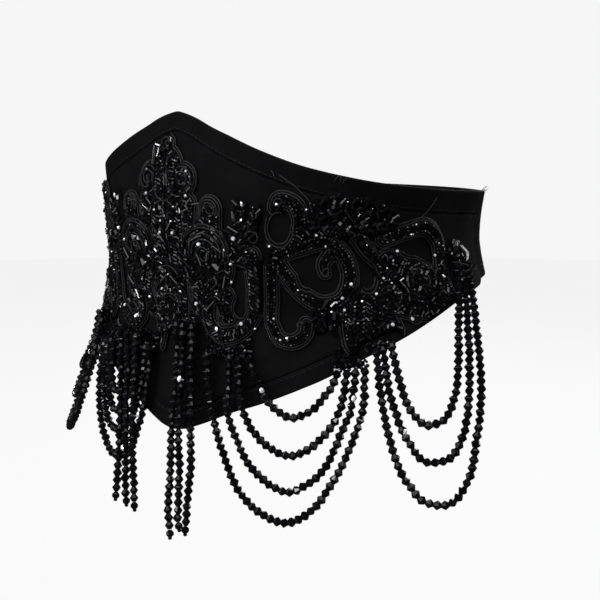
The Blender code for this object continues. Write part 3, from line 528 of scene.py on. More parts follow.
# Mesh parts: each is (points in mm, list of face index arrays, tone, uv or None)
MID_TONE = 0.5


def turned(profile, sides, spin=0.0):
    """Unit shape: rings of a (radius, height) profile turned round the third axis, closed by
    flat ends. Returns points and face arrays."""
    r = np.array([p[0] for p in profile])
    h = np.array([p[1] for p in profile])
    a = spin + 2 * np.pi * np.arange(sides) / sides
    pts = np.stack([r[:, None] * np.cos(a), r[:, None] * np.sin(a), h[:, None] + 0 * a], -1)
    i = np.arange(len(profile) - 1)[:, None] * sides
    j = np.arange(sides)[None, :]
    k = (j + 1) % sides
    quads = np.stack([i + j, i + k, i + sides + k, i + sides + j], -1).reshape(-1, 4)
    ends = np.stack([np.arange(sides)[::-1], np.arange(sides) + (len(profile) - 1) * sides])
    return pts.reshape(-1, 3), [quads, ends]


# Bead shapes: the third axis of each is its own axis or its face
BICONE = turned(((0.46, -0.5), (1.0, -0.05), (1.0, 0.05), (0.46, 0.5)), 8)
ROUND = turned(((0.42, -0.92), (1.0, -0.34), (0.98, 0.4), (0.40, 0.94)), 7, 0.2)
SEED = turned(((0.55, -0.8), (1.0, 0.0), (0.5, 0.82)), 6)
BUGLE = turned(((0.8, -1.0), (1.0, -0.88), (1.0, 0.88), (0.8, 1.0)), 6, 0.5)
CUT_STONE = turned(((1.0, 0.0), (1.0, 0.22), (0.6, 0.72)), 8, 0.39)
SEQUIN = turned(((0.2, -0.02), (1.0, 0.18), (1.0, 0.28), (0.28, 0.1)), 9)
DOME = turned(((1.0, 0.0), (1.0, 0.2), (0.93, 0.45), (0.76, 0.7), (0.5, 0.88), (0.22, 0.98),
               (0.06, 1.0)), 24)


def petal():
    """Pointed stone on a flat six-sided base with a ridge along its middle."""
    pts = np.array(((1, 0, 0), (0.45, 1, 0), (-0.45, 1, 0), (-1, 0, 0), (-0.45, -1, 0),
                    (0.45, -1, 0), (0.5, 0, 1), (-0.5, 0, 1)), float)
    tris = np.array(((0, 1, 6), (2, 3, 7), (3, 4, 7), (5, 0, 6)))
    quads = np.array(((1, 2, 7, 6), (4, 5, 6, 7)))
    return pts, [tris, quads, np.array(((5, 4, 3, 2, 1, 0),))]


PETAL = petal()


def copies(shape, centers, axes, sizes, tone=None):
    """A part with one copy of the shape at each centre: every point of the shape is scaled by
    its size row and laid off along the three axes."""
    pts, faces = shape
    n = len(centers)
    local = pts[None] * sizes[:, None, :]
    verts = centers[:, None, :] + np.einsum("npk,nkc->npc", local, axes)
    base = (np.arange(n) * len(pts))[:, None, None]
    tone = np.full(n, MID_TONE) if tone is None else tone
    return (verts.reshape(-1, 3), [(f[None] + base).reshape(-1, f.shape[1]) for f in faces],
            np.repeat(tone, len(pts)), None)


# Share of its radius that a tube keeps at its open ends
TUBE_END = 0.5


def tube(path, out, radius, sides=6, closed=False):
    """A part swept along a path: a ring of points at each path point, laid off along the out
    direction and across the path. uv is (length along, share of the way round and back)."""
    n = len(path)
    if closed:
        along = unit(np.roll(path, -1, 0) - np.roll(path, 1, 0))
    else:
        along = unit(np.gradient(path, axis=0))
    across = unit(np.cross(along, out))
    out = np.cross(across, along)
    size = np.broadcast_to(np.asarray(radius, float), (n,)).copy()
    if not closed:
        size[[0, -1]] *= TUBE_END
    a = 2 * np.pi * np.arange(sides) / sides
    ring = (np.cos(a)[None, :, None] * across[:, None] + np.sin(a)[None, :, None] * out[:, None])
    verts = path[:, None] + size[:, None, None] * ring
    run = lengths_along(path)
    uv = np.stack([run[:, None] + 0 * a, np.abs(a / np.pi - 1) + 0 * run[:, None]], -1)
    last = n if closed else n - 1
    i = np.arange(last)[:, None]
    j = np.arange(sides)[None, :]
    k, nxt = (j + 1) % sides, (i + 1) % n
    quads = np.stack([i * sides + k, i * sides + j, nxt * sides + j, nxt * sides + k], -1)
    faces = [quads.reshape(-1, 4)]
    if not closed:
        faces.append(np.stack([np.arange(sides), np.arange(sides)[::-1] + (n - 1) * sides]))
    return verts.reshape(-1, 3), faces, MID_TONE, uv.reshape(-1, 2)


def build(name, parts, material, smooth=False):
    """Join the parts into one mesh object in metres, with its tone attribute and its uv."""
    verts, faces, tones, uvs, base = [], [], [], [], 0
    for pts, sets, tone, uv in parts:
        verts.append(pts)
        tones.append(np.broadcast_to(tone, (len(pts),)))
        uvs.append(np.zeros((len(pts), 2)) if uv is None else uv)
        for f in sets:
            faces += (f + base).tolist()
        base += len(pts)
    if not faces:
        raise RuntimeError(name + " has no faces")
    points = np.concatenate(verts) * MM
    mesh = bpy.data.meshes.new(name)
    mesh.from_pydata(points.tolist(), [], faces)
    mesh.polygons.foreach_set("use_smooth", np.full(len(mesh.polygons), smooth))
    tone = mesh.attributes.new("tone", "FLOAT", "POINT")
    tone.data.foreach_set("value", np.concatenate(tones).astype(np.float32))
    corner = np.empty(len(mesh.loops), np.int32)
    mesh.loops.foreach_get("vertex_index", corner)
    layer = mesh.uv_layers.new(name="UVMap")
    layer.data.foreach_set("uv", np.concatenate(uvs)[corner].astype(np.float32).ravel())
    mesh.materials.append(material)
    mesh.update()
    obj = bpy.data.objects.new(name, mesh)
    bpy.context.scene.collection.objects.link(obj)
    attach(obj, "root")
    return obj


def grid_corners(rows, cols):
    """Point numbers at the four corners of each cell of a grid, in order round the cell."""
    i = np.arange(rows - 1)[:, None] * cols
    j = np.arange(cols - 1)[None, :]
    return i + j, i + j + 1, i + cols + j + 1, i + cols + j


def shell_part(outer, inner, uv):
    """A part that closes two equal grids of points into one skin with a rim."""
    rows, cols = outer.shape[:2]
    front = np.stack(grid_corners(rows, cols), -1).reshape(-1, 4)
    shift = rows * cols
    rim = np.concatenate([np.arange(cols), np.arange(1, rows) * cols + cols - 1,
                          (rows - 1) * cols + np.arange(cols - 2, -1, -1),
                          np.arange(rows - 2, 0, -1) * cols])
    after = np.roll(rim, -1)
    band = np.stack([after, rim, shift + rim, shift + after], -1)
    points = np.concatenate([outer.reshape(-1, 3), inner.reshape(-1, 3)])
    faces = [front, shift + front[:, ::-1], band]
    return points, faces, MID_TONE, np.concatenate([uv.reshape(-1, 2)] * 2)


# Lace field


def path_of(points, step):
    """Smooth path through the points, about one step apart, and its share of the way along."""
    p = np.asarray(points, float)
    run = lengths_along(p)
    t = np.linspace(0, run[-1], max(2, int(round(run[-1] / step))) + 1)
    return smooth_line(p, run, t), t / run[-1]


# Steps along a stroke for its field and its outline, and the narrowest outline
FIELD_STEP = 3.0
OUTLINE_STEP = 0.8
OUTLINE_LEAST = 0.7


def stroke_field(s, z, stroke):
    """Depth inside a stroke and its relief: the half width less the distance to the path, and
    a half round across the path."""
    _, start, end, ridge, points = stroke
    line, share = path_of(points, FIELD_STEP)
    width = start + (end - start) * share
    a, d = line[:-1], np.diff(line, axis=0)
    shape = np.shape(s)
    q = np.stack([np.ravel(s), np.ravel(z)], -1)
    t = np.einsum("nmk,mk->nm", q[:, None] - a[None], d) / (d * d).sum(-1)
    t = np.clip(t, 0, 1)
    gap = np.linalg.norm(q[:, None] - a[None] - t[..., None] * d[None], axis=-1)
    w = width[:-1] + np.diff(width) * t
    rise = ridge * np.sqrt(np.clip(1 - (gap / w) ** 2, 0, 1))
    return (w - gap).max(1).reshape(shape), rise.max(1).reshape(shape)


def lace_field(s, z, piece, side):
    """Depth inside one lace piece and its relief, with windows, cuts and roots taken out."""
    s, z = np.asarray(s, float), np.asarray(z, float)
    best, rise = np.full(s.shape, -1e9), np.zeros(s.shape)
    ways = (s, mirror(s)) if piece == "center" else (s,)
    for stroke in STROKES[piece]:
        for x in ways:
            inside, height = stroke_field(x, z, stroke)
            best, rise = np.maximum(best, inside), np.maximum(rise, height)
    for cs, cz, rs, rz in WINDOWS[piece]:
        for x in ways:
            best = np.minimum(best, (np.hypot((x - cs) / rs, (z - cz) / rz) - 1) * min(rs, rz))
    real = s if side > 0 else -mirrored_arc(s)
    angle = angle_at(real)
    over = 0.0
    if piece == "side":
        over = (SPRAY_OVER * smooth_step((s - SPRAY_START) / SPRAY_FADE)
                * smooth_step((SPRAY_STOP - s) / SPRAY_FADE))
    best = np.minimum(best, z - low_edge(angle) - HEM_ROOM)
    best = np.minimum(best, top_seam(angle) - TOP_ROOM + over - z)
    if piece == "center":
        best = np.minimum(best, LACE_CUT - CUT_GAP - s)
        best = np.minimum(best, s + LACE_SHIFT + LACE_CUT - CUT_GAP)
        return best, rise
    best = np.minimum(best, s - LACE_CUT)
    for name, s0, z0, s1, z1, half in ROOT_CLEARANCE:
        if name == ("left" if side > 0 else "right"):
            ds, dz = s1 - s0, z1 - z0
            t = np.clip(((real - s0) * ds + (z - z0) * dz) / (ds * ds + dz * dz), 0, 1)
            best = np.minimum(best, np.hypot(real - s0 - t * ds, z - z0 - t * dz) - half)
    return best, rise


# Net ground: thickness, share of the relief, and depth over which the relief rises
GROUND_BASE = 0.45
GROUND_SHARE = 0.55
GROUND_RISE = 2.5
# Net grid: cell, step and least value of its slopes, cells near the edge that move on to it,
# and how far outside a triangle's middle may lie
NET_CELL = 1.25
NET_STEP = 0.05
NET_LEAST_SLOPE = 0.25
NET_SNAP = 0.62
NET_OUTSIDE = 0.05


def lace_height(s, z, piece, side):
    """Offset of the top of the lace ground from the cloth."""
    inside, rise = lace_field(s, z, piece, side)
    return LAY_GAP + GROUND_BASE + GROUND_SHARE * rise * smooth_step(inside / GROUND_RISE)


def lace_grid(piece, cell):
    """Grid of places (s, z) that covers a lace piece."""
    return np.meshgrid(np.arange(*LACE_SPAN[piece], cell), np.arange(*LACE_LEVELS, cell))


def field_growth(s, z, piece, side, e):
    """How much the field grows from e before a place to e past it, along s and along z."""
    return (lace_field(s + e, z, piece, side)[0] - lace_field(s - e, z, piece, side)[0],
            lace_field(s, z + e, piece, side)[0] - lace_field(s, z - e, piece, side)[0])


def lace_ground(piece, side):
    """Net plate: a grid of triangles kept where the field is positive, with the points near its
    edge moved on to it, closed by a plain back and a rim."""
    s, z = lace_grid(piece, NET_CELL)
    rows, cols = s.shape
    f = lace_field(s, z, piece, side)[0]
    gs, gz = (g / (2 * NET_STEP) for g in field_growth(s, z, piece, side, NET_STEP))
    size = np.maximum(gs ** 2 + gz ** 2, NET_LEAST_SLOPE)
    near = np.abs(f) < NET_SNAP * NET_CELL
    s, z = np.where(near, s - f * gs / size, s), np.where(near, z - f * gz / size, z)
    keep = near | (f > 0)
    a, b, c, d = grid_corners(rows, cols)
    even = (np.add.outer(np.arange(rows - 1), np.arange(cols - 1)) % 2 == 0)[..., None]
    one = np.where(even, np.stack([a, b, c], -1), np.stack([a, b, d], -1)).reshape(-1, 3)
    two = np.where(even, np.stack([a, c, d], -1), np.stack([b, c, d], -1)).reshape(-1, 3)
    tris = np.concatenate([one, two])
    tris = tris[keep.ravel()[tris].all(1)]
    middle = np.stack([s.ravel()[tris].mean(1), z.ravel()[tris].mean(1)])
    tris = tris[lace_field(middle[0], middle[1], piece, side)[0] > -NET_OUTSIDE]
    used, flat = np.unique(tris, return_inverse=True)
    tris = flat.reshape(-1, 3)
    s, z = s.ravel()[used], z.ravel()[used]
    top = surface(s, z, lace_height(s, z, piece, side), side)
    low = surface(s, z, LAY_GAP, side)
    if side < 0:
        tris = tris[:, ::-1]
    edges = np.concatenate([tris[:, [0, 1]], tris[:, [1, 2]], tris[:, [2, 0]]])
    n = len(used)
    code, back = edges[:, 0] * n + edges[:, 1], edges[:, 1] * n + edges[:, 0]
    rim = edges[~np.isin(code, back)]
    band = np.stack([rim[:, 1], rim[:, 0], n + rim[:, 0], n + rim[:, 1]], -1)
    uv = np.concatenate([np.stack([s, z], -1)] * 2)
    return np.concatenate([top, low]), [tris, n + tris[:, ::-1], band], MID_TONE, uv


def outline(stroke, inset, step):
    """Closed loop round a stroke: its path moved to both sides by the half width less the
    inset, with half circles round its ends. Empty where the stroke is too narrow."""
    _, start, end, _, points = stroke
    line, share = path_of(points, OUTLINE_STEP)
    width = start + (end - start) * share - inset
    if width.min() < OUTLINE_LEAST:
        return np.zeros((0, 2))
    t = unit(np.gradient(line, axis=0))
    side = np.stack([-t[:, 1], t[:, 0]], -1)
    head = math.atan2(t[-1, 1], t[-1, 0]) + np.linspace(math.pi / 2, -math.pi / 2, 24)[1:-1]
    tail = math.atan2(t[0, 1], t[0, 0]) + np.linspace(-math.pi / 2, -1.5 * math.pi, 24)[1:-1]
    loop = np.concatenate([
        line + side * width[:, None],
        line[-1] + width[-1] * np.stack([np.cos(head), np.sin(head)], -1),
        (line - side * width[:, None])[::-1],
        line[0] + width[0] * np.stack([np.cos(tail), np.sin(tail)], -1)])
    return even_loop(loop, step)


def even_loop(loop, step):
    """The closed loop sampled evenly, about one step apart."""
    ring = np.concatenate([loop, loop[:1]])
    run = lengths_along(ring)
    t = np.linspace(0, run[-1], max(8, int(round(run[-1] / step))) + 1)[:-1]
    return sampled(ring, run, t)


def ellipse_loop(window, inset, step):
    """Closed loop round a window, at the inset from its edge."""
    cs, cz, rs, rz = window
    a = np.linspace(0, 2 * np.pi, 90)[:-1]
    grow = 1 + inset / min(rs, rz)
    return even_loop(np.stack([cs + rs * grow * np.cos(a), cz + rz * grow * np.sin(a)], -1), step)


def leafy(stroke):
    """Whether a stroke is a leaf or a stem, which has slanting beads and no corded outline."""
    return "leaf" in stroke[0] or "stem" in stroke[0]


def off_middle(s):
    """Whether s lies off the middle line of the middle piece, and so has a mirror image."""
    return np.abs(s + LACE_SHIFT / 2) > 0.3


def lace_loops(piece, side, inset, step, slack=0.45):
    """Every outline of the piece at the inset, with a flag for the points that lie on the
    piece's own outline there. In the middle piece the loops come in mirrored pairs."""
    loops = [outline(stroke, inset, step) for stroke in STROKES[piece] if not leafy(stroke)]
    loops += [ellipse_loop(window, inset, step) for window in WINDOWS[piece]]
    loops = [q for q in loops if len(q)]
    if piece == "center":
        loops += [np.stack([mirror(q[:, 0]), q[:, 1]], -1)[::-1] for q in loops
                  if off_middle(q[:, 0].mean())]
    out = []
    for q in loops:
        f = lace_field(q[:, 0], q[:, 1], piece, side)[0]
        out.append((q, np.abs(f - inset) < slack))
    return out


def runs(keep):
    """Stretches of a closed loop where keep holds, as index arrays."""
    if keep.all():
        return [(np.arange(len(keep)), True)]
    if not keep.any():
        return []
    start = int(np.flatnonzero(~keep)[0])
    order = np.roll(np.arange(len(keep)), -start)
    k = keep[order].astype(int)
    change = np.flatnonzero(np.diff(np.concatenate([[0], k, [0]])))
    return [(order[a:b], False) for a, b in zip(change[::2], change[1::2])]


# Curled cords: centre s and z, start and end radius, start and end angle
CURLS = {
    "center": (
        (-4, 52.6, 3.4, 2.6, 0, 350), (-4, 52.6, 1.3, 1.3, 0, 350), (27, 19.5, 6.6, 6.6, -40, 210),
        (27, 19.5, 2, 2, 0, 300), (23, -4, 16.2, 16.2, 0, 150), (23, -4, 8.6, 8.2, -20, 190),
        (23, -4, 5, 2.4, 200, -160), (-4, 13, 10, 10, 30, 150), (-4, 30, 7.5, 7, 200, 340),
        (-4, -34, 8, 8, 20, 160), (52, 6, 4.4, 1.2, 180, -200), (9, 34.5, 6.6, 6, 150, -70),
        (9, 34.5, 4.4, 2.4, 170, -160), (27, 19.5, 5.1, 5.1, 210, -40),
        (27, 19.5, 3.6, 3.6, 210, -60), (23, -4, 14.6, 14.2, 150, -10), (23, -4, 11.6, 11, 160, 0),
        (45, 18, 2, 1, 200, -60), (33, -37, 5, 1.6, 20, -330), (-4, -20, 9, 8.4, 160, 20),
    ),
    "side": (
        (66, 24.5, 2.6, 0.8, 230, -120), (89.4, -10.4, 2.4, 0.7, 60, 420),
        (76.5, -37, 2.6, 0.8, -60, 260), (106, 3, 6.2, 5.2, 150, 20), (112, 2.5, 3, 1.2, 200, -80),
        (137, -15, 5.2, 4.6, 200, -40), (120, -22, 5.4, 4.6, 180, -60),
        (104, -38, 5, 4.4, 200, -20), (130, -33, 3.4, 1.6, 10, -260), (147, -10, 2.6, 1, 90, 400),
    ),
}
# Cords: insets of a pair, step, fewest points of a run, turn of a curl's step, lift of the wide
# curls over the beads, and the part of its radius that a cord stands out
CORD_INSETS = (0.5, 1.75)
CORD_STEP = 0.7
CORD_LEAST = 12
CURL_STEP = 14
CURL_LIFT = 1.15
CURL_LIFT_FROM = 3
CORD_OUT = 0.6


def lace_cords(piece, side, radius):
    """Corded outlines: tubes along the edge loops, in pairs, and coiled curls."""
    parts = []
    for inset in CORD_INSETS:
        for q, keep in lace_loops(piece, side, inset, CORD_STEP):
            for index, whole in runs(keep):
                if len(index) >= CORD_LEAST:
                    parts.append(cord_on_lace(q[index], piece, side, radius, whole))
    for cs, cz, r0, r1, a0, a1 in CURLS[piece]:
        a = np.radians(np.linspace(a0, a1, max(10, int(abs(a1 - a0) / CURL_STEP))))
        r = np.linspace(r0, r1, len(a))
        s, z = cs + r * np.cos(a), cz + r * np.sin(a)
        ways = (s, mirror(s)) if piece == "center" and off_middle(cs) else (s,)
        lift = CURL_LIFT if piece == "center" and r0 > CURL_LIFT_FROM else 0.0
        for x in ways:
            parts.append(cord_on_lace(np.stack([x, z], -1), piece, side, radius, False, lift))
    return parts


def cord_on_lace(q, piece, side, radius, whole, lift=0.0):
    """One cord laid along (s, z) points, a little into the lace ground or lifted over it."""
    off = lace_height(q[:, 0], q[:, 1], piece, side) + CORD_OUT * radius + lift
    p, axes = frames(q[:, 0], q[:, 1], np.zeros(len(q)), off, side)
    return tube(p, axes[:, 2], radius, 6, whole)


def loop_turn(q):
    """Direction of travel along a loop, in degrees."""
    d = np.roll(q, -1, 0) - np.roll(q, 1, 0)
    return np.degrees(np.arctan2(d[:, 1], d[:, 0]))


# Places with few beads, where the cords show: s, z, radius
QUIET = {
    "center": (
        (-4, 51.5, 6.4), (7, 36, 5.8), (-16, 35, 3.6), (27, 20, 6.2), (-35, 20, 4.2), (33, -36, 5),
        (-41, -36, 5),
    ),
    "side": (
        (107, 1, 7), (90, -8, 4), (66, 24, 3), (76, -38, 3.5),
    ),
}
KIND_SEED, KIND_LONG, KIND_ROUND, KIND_RAY, KIND_SEQUIN, KIND_STONE, KIND_SHARD = range(7)

# Rows inside an outline: inset, pitch, half length, half width, kind, turn from the row
ROWS = (
    (3.0, 1.7, 0.8, 0.72, KIND_SEED, 0), (4.7, 1.9, 1.3, 0.62, KIND_LONG, 62),
    (6.6, 2.0, 0.95, 0.9, KIND_ROUND, 0), (8.4, 1.9, 1.5, 0.6, KIND_LONG, 70),
    (10.3, 1.8, 0.85, 0.8, KIND_SEED, 0), (12.2, 2.1, 1.5, 0.62, KIND_LONG, 20),
)
ROW_SLACK = 0.6
ROW_SWAY = 14
# Slanting beads on strokes up to a half width: pitch, rows, stray of place, stray of turn
NARROW = 6.6
LEAF_ROWS = (2.4, (-3.4, -1.25, 1.25, 3.4), 0.75, 26)
STEM_ROWS = (2.2, (-1.25, 1.25), 0.15, 10)
SLANT = 34
LEAF_BEAD = (1.4, 2.3)
STEM_BEAD = 1.5
LEAF_RAYS = 0.35
# Bars strewn over the middle piece: count, ranges of s, z and half length, half width, middle
# of their swirl, turn and its stray, room round the quiet places
SHARDS = 46
SHARD_S, SHARD_Z, SHARD_HALF, SHARD_WIDE = (-2, 42), (-32, 30), (1.8, 3.4), 0.5
SHARD_CENTER = (23, -4)
SHARD_TURN = (14, 18)
SHARD_ROOM = 2.0
# Stones are drawn at this share of their tabled radius
STONE_SCALE = 0.62
# Fill: cell, least depth, step of its slopes, and the beads as (chance up to this kind, kind,
# half length, half width)
FILL_CELL = 1.42
FILL_DEPTH = 2.3
FILL_STEP = 0.3
FILL_SWAY = 22
FILL_BEADS = np.array((
    (0.30, KIND_SEED, 0.75, 0.68), (0.70, KIND_LONG, 1.35, 0.55), (0.82, KIND_ROUND, 0.95, 0.9),
    (0.87, KIND_SEQUIN, 1.5, 1.5), (1.0, KIND_RAY, 2.5, 1.0)))
# Share of beads left in the quiet places; depths that rays and stones, beads on leaves and
# others keep from the edge; share of their reach between two beads
QUIET_SHARE = 0.16
DEEP_DEPTH, LEAF_DEPTH, BEAD_DEPTH = 0.4, 0.6, 2.2
BEAD_ROOM = 0.92


def plan_of(s, z, turn, half, wide, kind):
    """A plan of beads: a row for each with its place, turn, half length, half width and kind."""
    return np.stack(np.broadcast_arrays(s, z, turn, half, wide, kind), -1)


def plan_rows(piece, side, rng):
    """Beads in rows along the outlines."""
    rows = []
    for inset, step, half, wide, kind, across in ROWS:
        for q, keep in lace_loops(piece, side, inset, step, ROW_SLACK):
            n = int(keep.sum())
            turn = loop_turn(q)[keep] + across + rng.normal(0, ROW_SWAY, n)
            rows.append(plan_of(q[keep, 0], q[keep, 1], turn, half, wide, kind))
    return rows


def plan_slanting(piece, rng):
    """Herringbone pairs of beads down the narrow strokes, wider and looser on the leaves."""
    rows = []
    for name, start, end, _, points in STROKES[piece]:
        if max(start, end) > NARROW:
            continue
        leaf = "leaf" in name
        step, ways, stray, sway = LEAF_ROWS if leaf else STEM_ROWS
        line = path_of(points[::-1] if leaf else points, step)[0]
        n = len(line)
        t = unit(np.gradient(line, axis=0))
        head = np.degrees(np.arctan2(t[:, 1], t[:, 0]))
        for way in ways:
            q = line + way * np.stack([-t[:, 1], t[:, 0]], -1)
            q = q + rng.normal(0, stray, (n, 2))
            turn = head + np.sign(way) * SLANT + rng.normal(0, sway, n)
            half = rng.uniform(*LEAF_BEAD, n) if leaf else STEM_BEAD
            kind = np.where(leaf & (rng.random(n) < LEAF_RAYS), KIND_RAY, KIND_LONG)
            wide = np.where(kind == KIND_RAY, 1.05, 0.8)
            rows.append(plan_of(q[:, 0], q[:, 1], turn, half, wide, kind))
    return rows


# Rows of beads on arcs: centre s and z, radius, first and last angle
ARCS = {
    "center": (
        (23, -4, 15.2, -12, 172), (23, -4, 12.6, -6, 176), (23, -4, 10.2, 0, 180),
        (8, 35, 8, -70, 120), (-4, -20, 15.6, 18, 90), (-4, -20, 10.4, 20, 90),
        (-4, 13, 12.6, 24, 90), (-4, 13, 7.8, 30, 90), (5, -38, 9.6, 200, 340),
        (34, -28, 8.4, 170, 350), (34, -28, 5.6, 180, 340),
    ),
    "side": (
        (137, -15, 8.2, -10, 330), (120, -22, 8.2, 20, 350), (104, -38, 8.6, 180, 360),
        (107, 1, 6.6, 20, 170),
    ),
}
# Arcs: pitch, and half length, half width and kind of the seed beads and of the others
ARC_PITCH = 2.7
ARC_SEED = (0.85, 0.85, KIND_SEED)
ARC_LONG = (1.5, 0.68, KIND_LONG)


def plan_arcs(piece):
    """Long beads end to end on the tabled arcs, with a seed bead after every second one."""
    out = []
    for cs, cz, r, a0, a1 in ARCS[piece]:
        n = max(3, int(r * math.radians(a1 - a0) / ARC_PITCH))
        a = np.linspace(a0, a1, n)
        half, wide, kind = np.where(np.arange(n)[:, None] % 3 == 2, ARC_SEED, ARC_LONG).T
        out.append(plan_of(cs + r * np.cos(np.radians(a)), cz + r * np.sin(np.radians(a)),
                           a + 90, half, wide, kind))
    return out


def plan_rays(piece):
    """Long cut stones that stand round a centre like petals, some a little further out."""
    out = []
    for cs, cz, a0, a1, count, r0, r1, wide in RAYS[piece]:
        a = np.linspace(a0, a1, count)
        r = (r0 + r1) / 2 + 0.4 * np.sin(np.arange(count) * 2.1)
        out.append(plan_of(cs + r * np.cos(np.radians(a)), cz + r * np.sin(np.radians(a)), a,
                           (r1 - r0) / 2, wide / 2, KIND_RAY))
    return out


def plan_shards(piece, rng):
    """Long thin cut bars strewn over the middle piece, swirling round its rosettes."""
    if piece != "center":
        return []
    n = SHARDS
    s, z = rng.uniform(*SHARD_S, n), rng.uniform(*SHARD_Z, n)
    around = np.degrees(np.arctan2(z - SHARD_CENTER[1], s - SHARD_CENTER[0])) + 90
    turn = around + rng.normal(*SHARD_TURN, n)
    plan = plan_of(s, z, turn, rng.uniform(*SHARD_HALF, n), SHARD_WIDE, KIND_SHARD)
    return [plan[~quiet_places(plan, piece, SHARD_ROOM)]]


def quiet_places(plan, piece, more=0.0):
    """Which beads of a plan stand in a quiet place, or within more of one."""
    quiet = np.zeros(len(plan), bool)
    for cs, cz, radius in QUIET[piece]:
        quiet |= np.hypot(plan[:, 0] - cs, plan[:, 1] - cz) < radius + more
    return quiet


def plan_stones(piece):
    """Stones painted white as glints, at their tabled places; the long ones lean to either side.
    """
    s, z, wide, stretch = np.array(STONES[piece], float).T
    turn = 90 + 50 * np.sin(np.arange(len(s)) * 2.4) * (stretch > 1)
    wide = STONE_SCALE * wide
    return [plan_of(s, z, turn, wide * stretch, wide, KIND_STONE)]


def mirrored_plan(plan):
    """The plan of the middle piece with its mirror image added."""
    other = plan.copy()
    other[:, 0] = mirror(other[:, 0])
    other[:, 2] = 180 - other[:, 2]
    return np.concatenate([plan, other])


def reach(plan):
    """Radius that a bead keeps free round itself."""
    return 0.35 * plan[:, 3] + 0.65 * plan[:, 4]


def thinned(plan, room):
    """Beads in order, without those whose middle is too near an earlier bead's middle. Each
    pass keeps the beads that no earlier remaining bead is near."""
    alive = np.ones(len(plan), bool)
    kept = np.zeros(len(plan), bool)
    gap = np.hypot(plan[:, None, 0] - plan[None, :, 0], plan[:, None, 1] - plan[None, :, 1])
    near = gap < room * (reach(plan)[:, None] + reach(plan)[None, :])
    np.fill_diagonal(near, False)
    earlier = np.tril(np.ones(near.shape, bool), -1) & near
    for _ in range(12):
        first = alive & ~(earlier & alive[None, :]).any(1)
        if not first.any():
            break
        kept |= first
        alive &= ~first & ~near[:, first].any(1)
    return plan[kept]


def plan_fill(piece, side, rng):
    """Random beads for the places that are still free: a jittered grid of candidates, turned
    mostly along the outlines."""
    s, z = lace_grid(piece, FILL_CELL)
    s = (s + rng.uniform(-0.5, 0.5, s.shape) * FILL_CELL).ravel()
    z = (z + rng.uniform(-0.5, 0.5, z.shape) * FILL_CELL).ravel()
    keep = lace_field(s, z, piece, side)[0] > FILL_DEPTH
    s, z = s[keep], z[keep]
    n = len(s)
    gs, gz = field_growth(s, z, piece, side, FILL_STEP)
    flow = np.degrees(np.arctan2(gz, gs)) + np.where(rng.random(n) < 0.6, 90, 20)
    pick = np.searchsorted(FILL_BEADS[:, 0], rng.random(n), side="right")
    kind, half, wide = FILL_BEADS[pick, 1:].T
    return plan_of(s, z, flow + rng.normal(0, FILL_SWAY, n), half, wide, kind)


def bead_plan(piece, side, seed):
    """All beads of one lace piece: stones first, then rays, bars, arcs, rows and fill, thinned
    out. Also returns the random generator for the next steps."""
    rng = np.random.default_rng(seed)
    plan = np.concatenate(plan_stones(piece) + plan_rays(piece) + plan_shards(piece, rng)
                          + plan_arcs(piece))
    if piece == "center":
        plan = mirrored_plan(plan)
    rows = np.concatenate(plan_rows(piece, side, rng) + plan_slanting(piece, rng))
    fill = plan_fill(piece, side, rng)
    more = np.concatenate([rows, fill[rng.permutation(len(fill))]])
    quiet = quiet_places(more, piece)
    plan = np.concatenate([plan, more[~quiet | (rng.random(len(more)) < QUIET_SHARE)]])
    inside = lace_field(plan[:, 0], plan[:, 1], piece, side)[0]
    other = (piece == "center") & (plan[:, 0] < -LACE_SHIFT / 2)
    s = np.where(other, mirror(plan[:, 0]), plan[:, 0])
    on_leaf = np.zeros(len(plan), bool)
    for stroke in STROKES[piece]:
        if leafy(stroke):
            on_leaf |= stroke_field(s, plan[:, 1], stroke)[0] > 0.2
    least = np.where(on_leaf, LEAF_DEPTH, BEAD_DEPTH)
    plan = plan[inside > np.where(plan[:, 5] >= KIND_RAY, DEEP_DEPTH, least)]
    return thinned(plan, BEAD_ROOM), rng


# Kinds: shape, whether it lies on its side, random tilt, depth and lift as shares of the half
# width, further lift
BEAD_KINDS = (
    (KIND_SEED, SEED, True, 0.28, 1, 0.82, 0), (KIND_LONG, BUGLE, True, 0.16, 1, 0.82, 0),
    (KIND_SHARD, BUGLE, True, 0.1, 1, 0.82, 0.9), (KIND_ROUND, ROUND, False, 0.35, 1, 0.82, 0),
    (KIND_RAY, PETAL, False, 0.13, 1.15, 0.0, 0), (KIND_SEQUIN, SEQUIN, False, 0.2, 0.7, 0.5, 0),
    (KIND_STONE, CUT_STONE, False, 0.22, 1.15, 0.35, 0),
)
# Spread of size, share and rise of proud beads, palest tone of rays and bars and its fall; that
# lighter tone is painted sheen
SIZE_VARIES = (0.88, 1.12)
PROUD_SHARE = 0.2
PROUD_LIFT = (0.2, 0.9)
RAY_PAINTED_SHEEN = 0.95
RAY_PAINTED_SHEEN_FALL = 0.4


